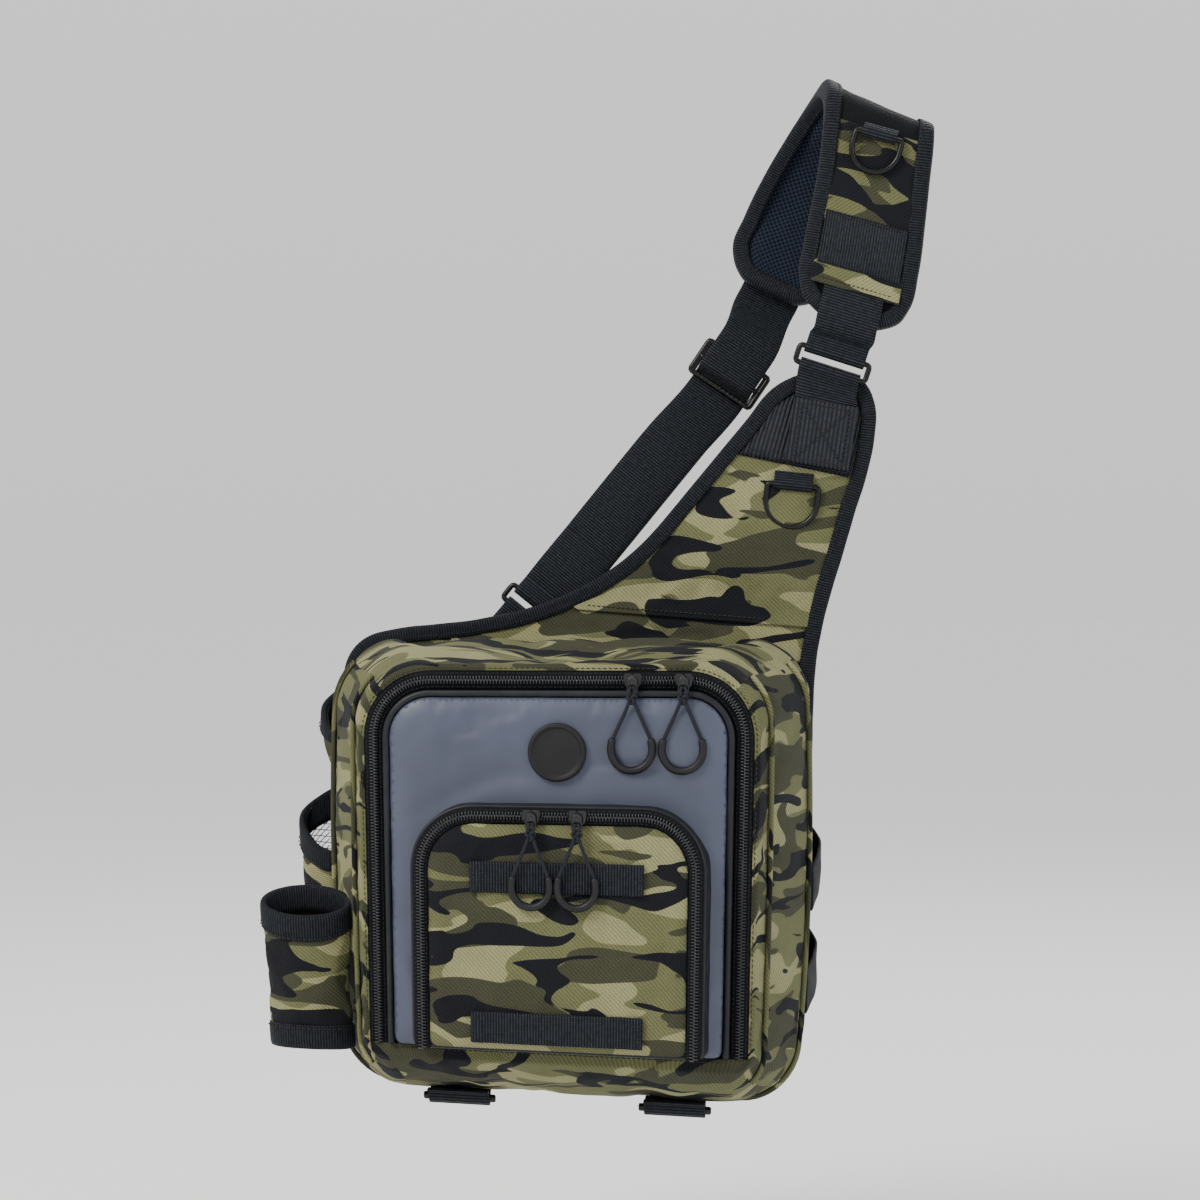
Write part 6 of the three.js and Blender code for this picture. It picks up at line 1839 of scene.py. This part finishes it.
def front_webbing():
    x, y, z, tilt, _ = PAD_ROWS[0]
    outer = y - RING_STATION["place"][1] - 0.4
    front = PAD_WALL / 2 + PAD_BINDING_REACH + 0.6 + WEBBING_THICKNESS / 2
    # Sewn to the front of the pad under the cover's low edge, then down over the pad's end
    rows = [
        leg_row(486, front - 1.6, WEBBING_HALF - 0.4), leg_row(478, front - 0.4, WEBBING_HALF - 0.2),
        leg_row(469, front, WEBBING_HALF), row((x - 0.6, y - front, z - 1), tilt, WEBBING_HALF),
        row((x - 2.6, y - front + 2.4, z - 9), tilt, WEBBING_HALF),
        local_row(RING_STATION, outer - 0.6, RING_SPACING / 2 + 9, WEBBING_HALF),
        *wrap_rows(RING_STATION, RING_SPACING / 2, WRAP_RADIUS, 30, -215, WEBBING_HALF),
        local_row(RING_STATION, outer - WEBBING_THICKNESS - SEAM_GAP, RING_SPACING / 2 + 9.5, WEBBING_HALF),
    ]
    strap_piece("front_webbing", rows)


PAD_COLUMNS = 20


def shoulder_pad():
    """Foam between a woven outer face and a spacer mesh that lies on the shoulder.

    Round the pad lie the columns of one face, 3 of an edge, those of the other face and 3 of an edge.
    """
    rows = [row(r[:3], r[3], PAD_HALF_WIDTH * r[4] - BINDING_WALL - SEAM_GAP) for r in PAD_ROWS]
    line = smooth(rows, 3.0)
    points = strap_points(rows, PAD_WALL, step=3.0, across_count=PAD_COLUMNS, edge=2.2)
    piece = closed_piece("shoulder_pad", points, pad_mesh, "air_mesh", hung=False, nodes=("shoulder_pad",))
    mesh = piece.data
    mesh.materials.append(zip_tape)
    count = points.shape[1]
    for face in mesh.polygons[:(len(line) - 1) * count]:
        face.material_index = int(PAD_COLUMNS + 2 <= face.index % count < 2 * PAD_COLUMNS + 4)
    face_shares = [np.linspace(-1, 1, PAD_COLUMNS), [1] * 3, np.linspace(1, -1, PAD_COLUMNS), [-1] * 3]
    shares = np.abs(np.concatenate(face_shares))
    ends = np.minimum(np.arange(len(line)), np.arange(len(line))[::-1]) / 4
    free = np.clip((1 - shares) / 0.4, 0, 1)[None, :] * np.clip(ends, 0, 1)[:, None]
    inner_side = np.repeat((2.4, 0.15), PAD_COLUMNS + 3)
    cap = 0.05 + free * inner_side[None, :]
    relax(piece, free.ravel(), 5.0, cap.ravel(), shrink=-0.03, frames=14, bending=2.0)
    soften(piece)


def pad_edges():
    """The two long edges of the pad as one loop: places, the pad's face there and the way out."""
    line = smooth([row(r[:3], r[3], PAD_HALF_WIDTH * r[4] - BINDING_WALL - SEAM_GAP) for r in PAD_ROWS], 2.4)
    side = line[:, 3:6] / np.linalg.norm(line[:, 3:6], axis=1)[:, None]
    along = np.gradient(line[:, :3], axis=0)
    face = np.cross(along, side)
    face /= np.linalg.norm(face, axis=1)[:, None]
    right = line[:, :3] + side * line[:, 6:]
    left = line[:, :3] - side * line[:, 6:]
    loop = np.concatenate([right, left[::-1]])
    faces = np.concatenate([face, face[::-1]])
    run = np.roll(loop, -1, axis=0) - np.roll(loop, 1, axis=0)
    run /= np.linalg.norm(run, axis=1)[:, None]
    out = np.cross(faces, run)
    out /= np.linalg.norm(out, axis=1)[:, None]
    return loop, faces, out


def pad_binding():
    loop, faces, out = pad_edges()
    half = PAD_WALL / 2 + PAD_BINDING_REACH
    lap = 8.0
    section = [(-lap, half - 0.1), (-lap / 2, half + 0.1), (-0.6, half), (0.6, half - 0.7), (1.5, half - 2.4), (1.8, 0)]
    section = section + [(reach, -rise) for reach, rise in section[-2::-1]]
    points = np.stack([loop + out * reach + faces * rise for reach, rise in section], axis=1)
    points = uneven(points, 0.3, 24, seed=13)
    piece = grid_piece(
        "pad_binding", points, grosgrain, "black_binding", close_rows=True, hung=False, nodes=("pad_binding",),
    )
    soften(piece)
    thicken(piece, 1.0, offset=0.0)
    for side in (1, -1):
        stitch_line(loop + out * (-lap + 1.6) + faces * side * (half + 0.45), hung=False, pitch=3.4)


def leg_layer(name, low, high, offset, half, thickness, finish, slot, lift=0.0, turn=False):
    """A layer sewn on the pad's front leg, its middle a little proud, its low edge raised by lift."""
    rows = [
        leg_row(z, offset + lift * max(0, 1 - (z - low) / 16) ** 0.7, half)
        for z in np.linspace(low, high, max(3, int((high - low) / 5)))
    ]
    points = strap_points(rows, thickness, step=1.8, across_count=24)
    across = np.concatenate([np.linspace(-1, 1, 24), [1] * 3, np.linspace(1, -1, 24), [-1] * 3])
    bend = np.sin(np.linspace(0, np.pi, points.shape[0]))[:, None] ** 0.5 * (1 - across ** 4)[None, :]
    points[..., 1] -= 0.8 * bend
    points = uneven(points, 0.3, 26, seed=int(high))
    closed_piece(name, points, finish, slot, hung=False, turn=turn, shift=(6, 12), nodes=(name,))


PAD_COVER_LOW, PAD_COVER_HIGH, PAD_BAND_LOW, PAD_BAND_HIGH = 478.0, 577.0, 490.0, 522.0
COVER_OFFSET = PAD_WALL / 2 + SEAM_GAP + 0.6
BAND_OFFSET = COVER_OFFSET + 0.6 + SEAM_GAP + WEBBING_THICKNESS / 2


def cover_and_band():
    leg_layer(
        "pad_cover", PAD_COVER_LOW, PAD_COVER_HIGH, COVER_OFFSET - 0.1, 28.0, PAD_COVER_THICKNESS, camo_pad_print_and_shade,
        "camo_cloth", lift=2.6,
    )
    leg_layer(
        "pad_band", PAD_BAND_LOW, PAD_BAND_HIGH, BAND_OFFSET - 0.3, 25.8, WEBBING_THICKNESS, strap_webbing, "webbing",
        turn=True,
    )
    for z, offset, colour in (
        (PAD_BAND_LOW + 1.6, BAND_OFFSET + 1.0, "black"), (PAD_BAND_HIGH - 1.6, BAND_OFFSET + 1.0, "black"),
        (PAD_COVER_LOW + 3.5, COVER_OFFSET + 3.1, "olive"),
    ):
        x, y, mid_z, ax, _, az, half = leg_row(z, offset, 24.5)
        a = np.array((x - ax * half, y, mid_z - az * half))
        b = np.array((x + ax * half, y, mid_z + az * half))
        stitch_line([a, b], colour, pitch=2.8, thick=0.36, hung=False)


front_webbing()
shoulder_pad()
pad_binding()
cover_and_band()


# Rear strap

def between(share, y):
    """A row of the rear strap between its slider and its lower ring."""
    a, b = np.array(STRAP_SLIDER["place"]), np.array(LOWER_RING["place"])
    tilt = STRAP_SLIDER["tilt"] + (LOWER_RING["tilt"] - STRAP_SLIDER["tilt"]) * min(2 * share, 1)
    return row(a + (b - a) * share + (0, y, 0), tilt, WEBBING_HALF)


def rear_webbing():
    x, y, z, tilt, _ = PAD_ROWS[-1]
    clear = SLIDER_BAR / 2 + 1.5 * SEAM_GAP + WEBBING_THICKNESS / 2
    behind = PAD_WALL / 2 + PAD_BINDING_REACH + 0.6 + WEBBING_THICKNESS / 2
    # Sewn to the back of the pad, then down over its end
    rows = [
        row((x + over, y + behind + back, z + up), tilt, WEBBING_HALF)
        for over, back, up in ((9.5, 2.4, 20), (3.2, 0.6, 6), (-1.0, -0.6, -3), (-5.0, -4.5, -11))
    ]
    rows += [
        local_row(STRAP_SLIDER, side * clear + extra, rise, WEBBING_HALF) for side, extra, rise in (
            (-1, -0.6, SLIDER_SPACING + 12), (-1, 0, SLIDER_SPACING + 1.6), (-1, 0, SLIDER_SPACING - 1.6),
            (-1, 0, 2), (-1, 0, -2), (1, 0, -SLIDER_SPACING + 1.6), (1, 0, -SLIDER_SPACING - 1.6),
        )
    ]
    rows += [between(0.3, -0.4), between(0.6, -1.2)]
    rows += wrap_rows(LOWER_RING, RING_SPACING / 2, WRAP_RADIUS, 150, 390, WEBBING_HALF)
    rows += [between(0.6, 2.6), between(0.25, 5.6)]
    points = uneven(strap_points(rows, WEBBING_THICKNESS), 0.12, 60, seed=17)
    closed_piece("rear_webbing", points, strap_webbing, "webbing", hung=False, nodes=("rear_webbing",))
    place = placed((0, -clear - 1.7, SLIDER_SPACING + 8), STRAP_SLIDER)
    across = np.array(across_at(STRAP_SLIDER["tilt"]))
    stitch_line([place - across * 17, place + across * 17], hung=False, pitch=2.8, thick=0.42)


def lower_tab():
    sewn = PANEL_BACK_Y + BINDING_WALL + 2 * SEAM_GAP + WEBBING_THICKNESS / 2 - LOWER_RING["place"][1]
    over = sewn + WEBBING_THICKNESS + SEAM_GAP
    rows = [
        local_row(LOWER_RING, sewn, -36, WEBBING_HALF),
        local_row(LOWER_RING, sewn, -RING_SPACING / 2 - 14, WEBBING_HALF),
        *wrap_rows(LOWER_RING, -RING_SPACING / 2, WRAP_RADIUS, 200, -25, WEBBING_HALF),
        local_row(LOWER_RING, over, -RING_SPACING / 2 - 15, WEBBING_HALF),
        local_row(LOWER_RING, over, -36, WEBBING_HALF),
    ]
    strap_piece("lower_tab", rows)
    for rise in (-33.5, -23.5):
        ends = [placed((side * 15, over + WEBBING_THICKNESS / 2 + 0.1, rise), LOWER_RING) for side in (-1, 1)]
        stitch_line(ends, hung=False, pitch=2.8, thick=0.4)


rear_webbing()
lower_tab()


# Seams that show as thread

seam = np.linspace(8, 134, 60)
seam_front = np.interp(seam, (8, 40, 110, 134), (1.6, 4.0, 4.0, 1.8))
wing_seam = np.stack([seam, PANEL_FRONT_Y - seam_front, seam_height(seam) + 3.4], axis=1)
stitch_line(wing_seam, "olive", 3.0, thick=0.4, hung=False)
opening_line = at_y(grown(arch_line(MAIN_ARCH, 24), MAIN_TAPE / 2 + 1.6, False), BAG_FRONT_Y - 0.1)
stitch_line(opening_line, "olive", 3.2)
low_seam = np.linspace(-98, 101, 60)
foot_seam = np.stack([low_seam, 0 * low_seam + BAG_FRONT_Y - 0.1, 0 * low_seam + 27.3], axis=1)
stitch_line(foot_seam, "olive", 3.2)
stitching_piece("black_stitching", STITCHES["black"], black_thread)
stitching_piece("olive_stitching", STITCHES["olive"], olive_thread)


# Light and floor

def plain_finish(name, code, roughness):
    material, tree = new_finish(name)
    shader = node(tree, "BsdfPrincipled", {"Base Color": linear(code), "Roughness": roughness})
    node(tree, "OutputMaterial", {"Surface": shader.outputs[0]})
    return material


def area_light(name, place, target, size, power, code):
    data = bpy.data.lights.new(name, "AREA")
    data.shape = "DISK"
    data.size = size
    data.energy = power
    data.color = linear(code)[:3]
    lamp = bpy.data.objects.new(name, data)
    lamp.location = place
    lamp.rotation_euler = (Vector(target) - Vector(place)).to_track_quat("-Z", "Y").to_euler()
    scene.collection.objects.link(lamp)


floor_mesh = bpy.data.meshes.new("floor")
FLOOR_HALF, FLOOR_Z = 60.0, -0.72
floor_mesh.from_pydata(
    [(x * FLOOR_HALF, y * FLOOR_HALF, FLOOR_Z) for x, y in ((-1, -1), (1, -1), (1, 1), (-1, 1))],
    [], [(0, 1, 2, 3)],
)
floor_mesh.materials.append(plain_finish("painted_studio_floor", "#f4f4f4", 0.9))
floor = bpy.data.objects.new("floor", floor_mesh)
scene.collection.objects.link(floor)

middle = (-0.17, -0.05, -0.33)
area_light("key_from_upper_left", (-1.5, -1.6, 1.3), middle, 1.0, 62, "#fffaf4")
area_light("fill_from_right", (1.9, -1.3, 0.4), middle, 1.4, 14, "#f4f8ff")
area_light("rim_from_behind", (0.6, 1.6, 1.5), middle, 1.4, 22, "#ffffff")
world = bpy.data.worlds.new("pale_studio")
world.use_nodes = True
world.node_tree.nodes.clear()
# The backdrop meets the floor in the same tone and grows lighter upward
upward = node(world.node_tree, "SeparateXYZ", {0: node(world.node_tree, "TexCoord").outputs["Generated"]})
lightness = node(world.node_tree, "MapRange", {0: upward.outputs[2], 1: 0.0, 2: 0.3, 3: 0.93, 4: 1.04})
background = node(world.node_tree, "Background", {"Color": linear("#ffffff"), "Strength": lightness.outputs[0]})
node(world.node_tree, "OutputWorld", {"Surface": background.outputs[0]})
scene.world = world
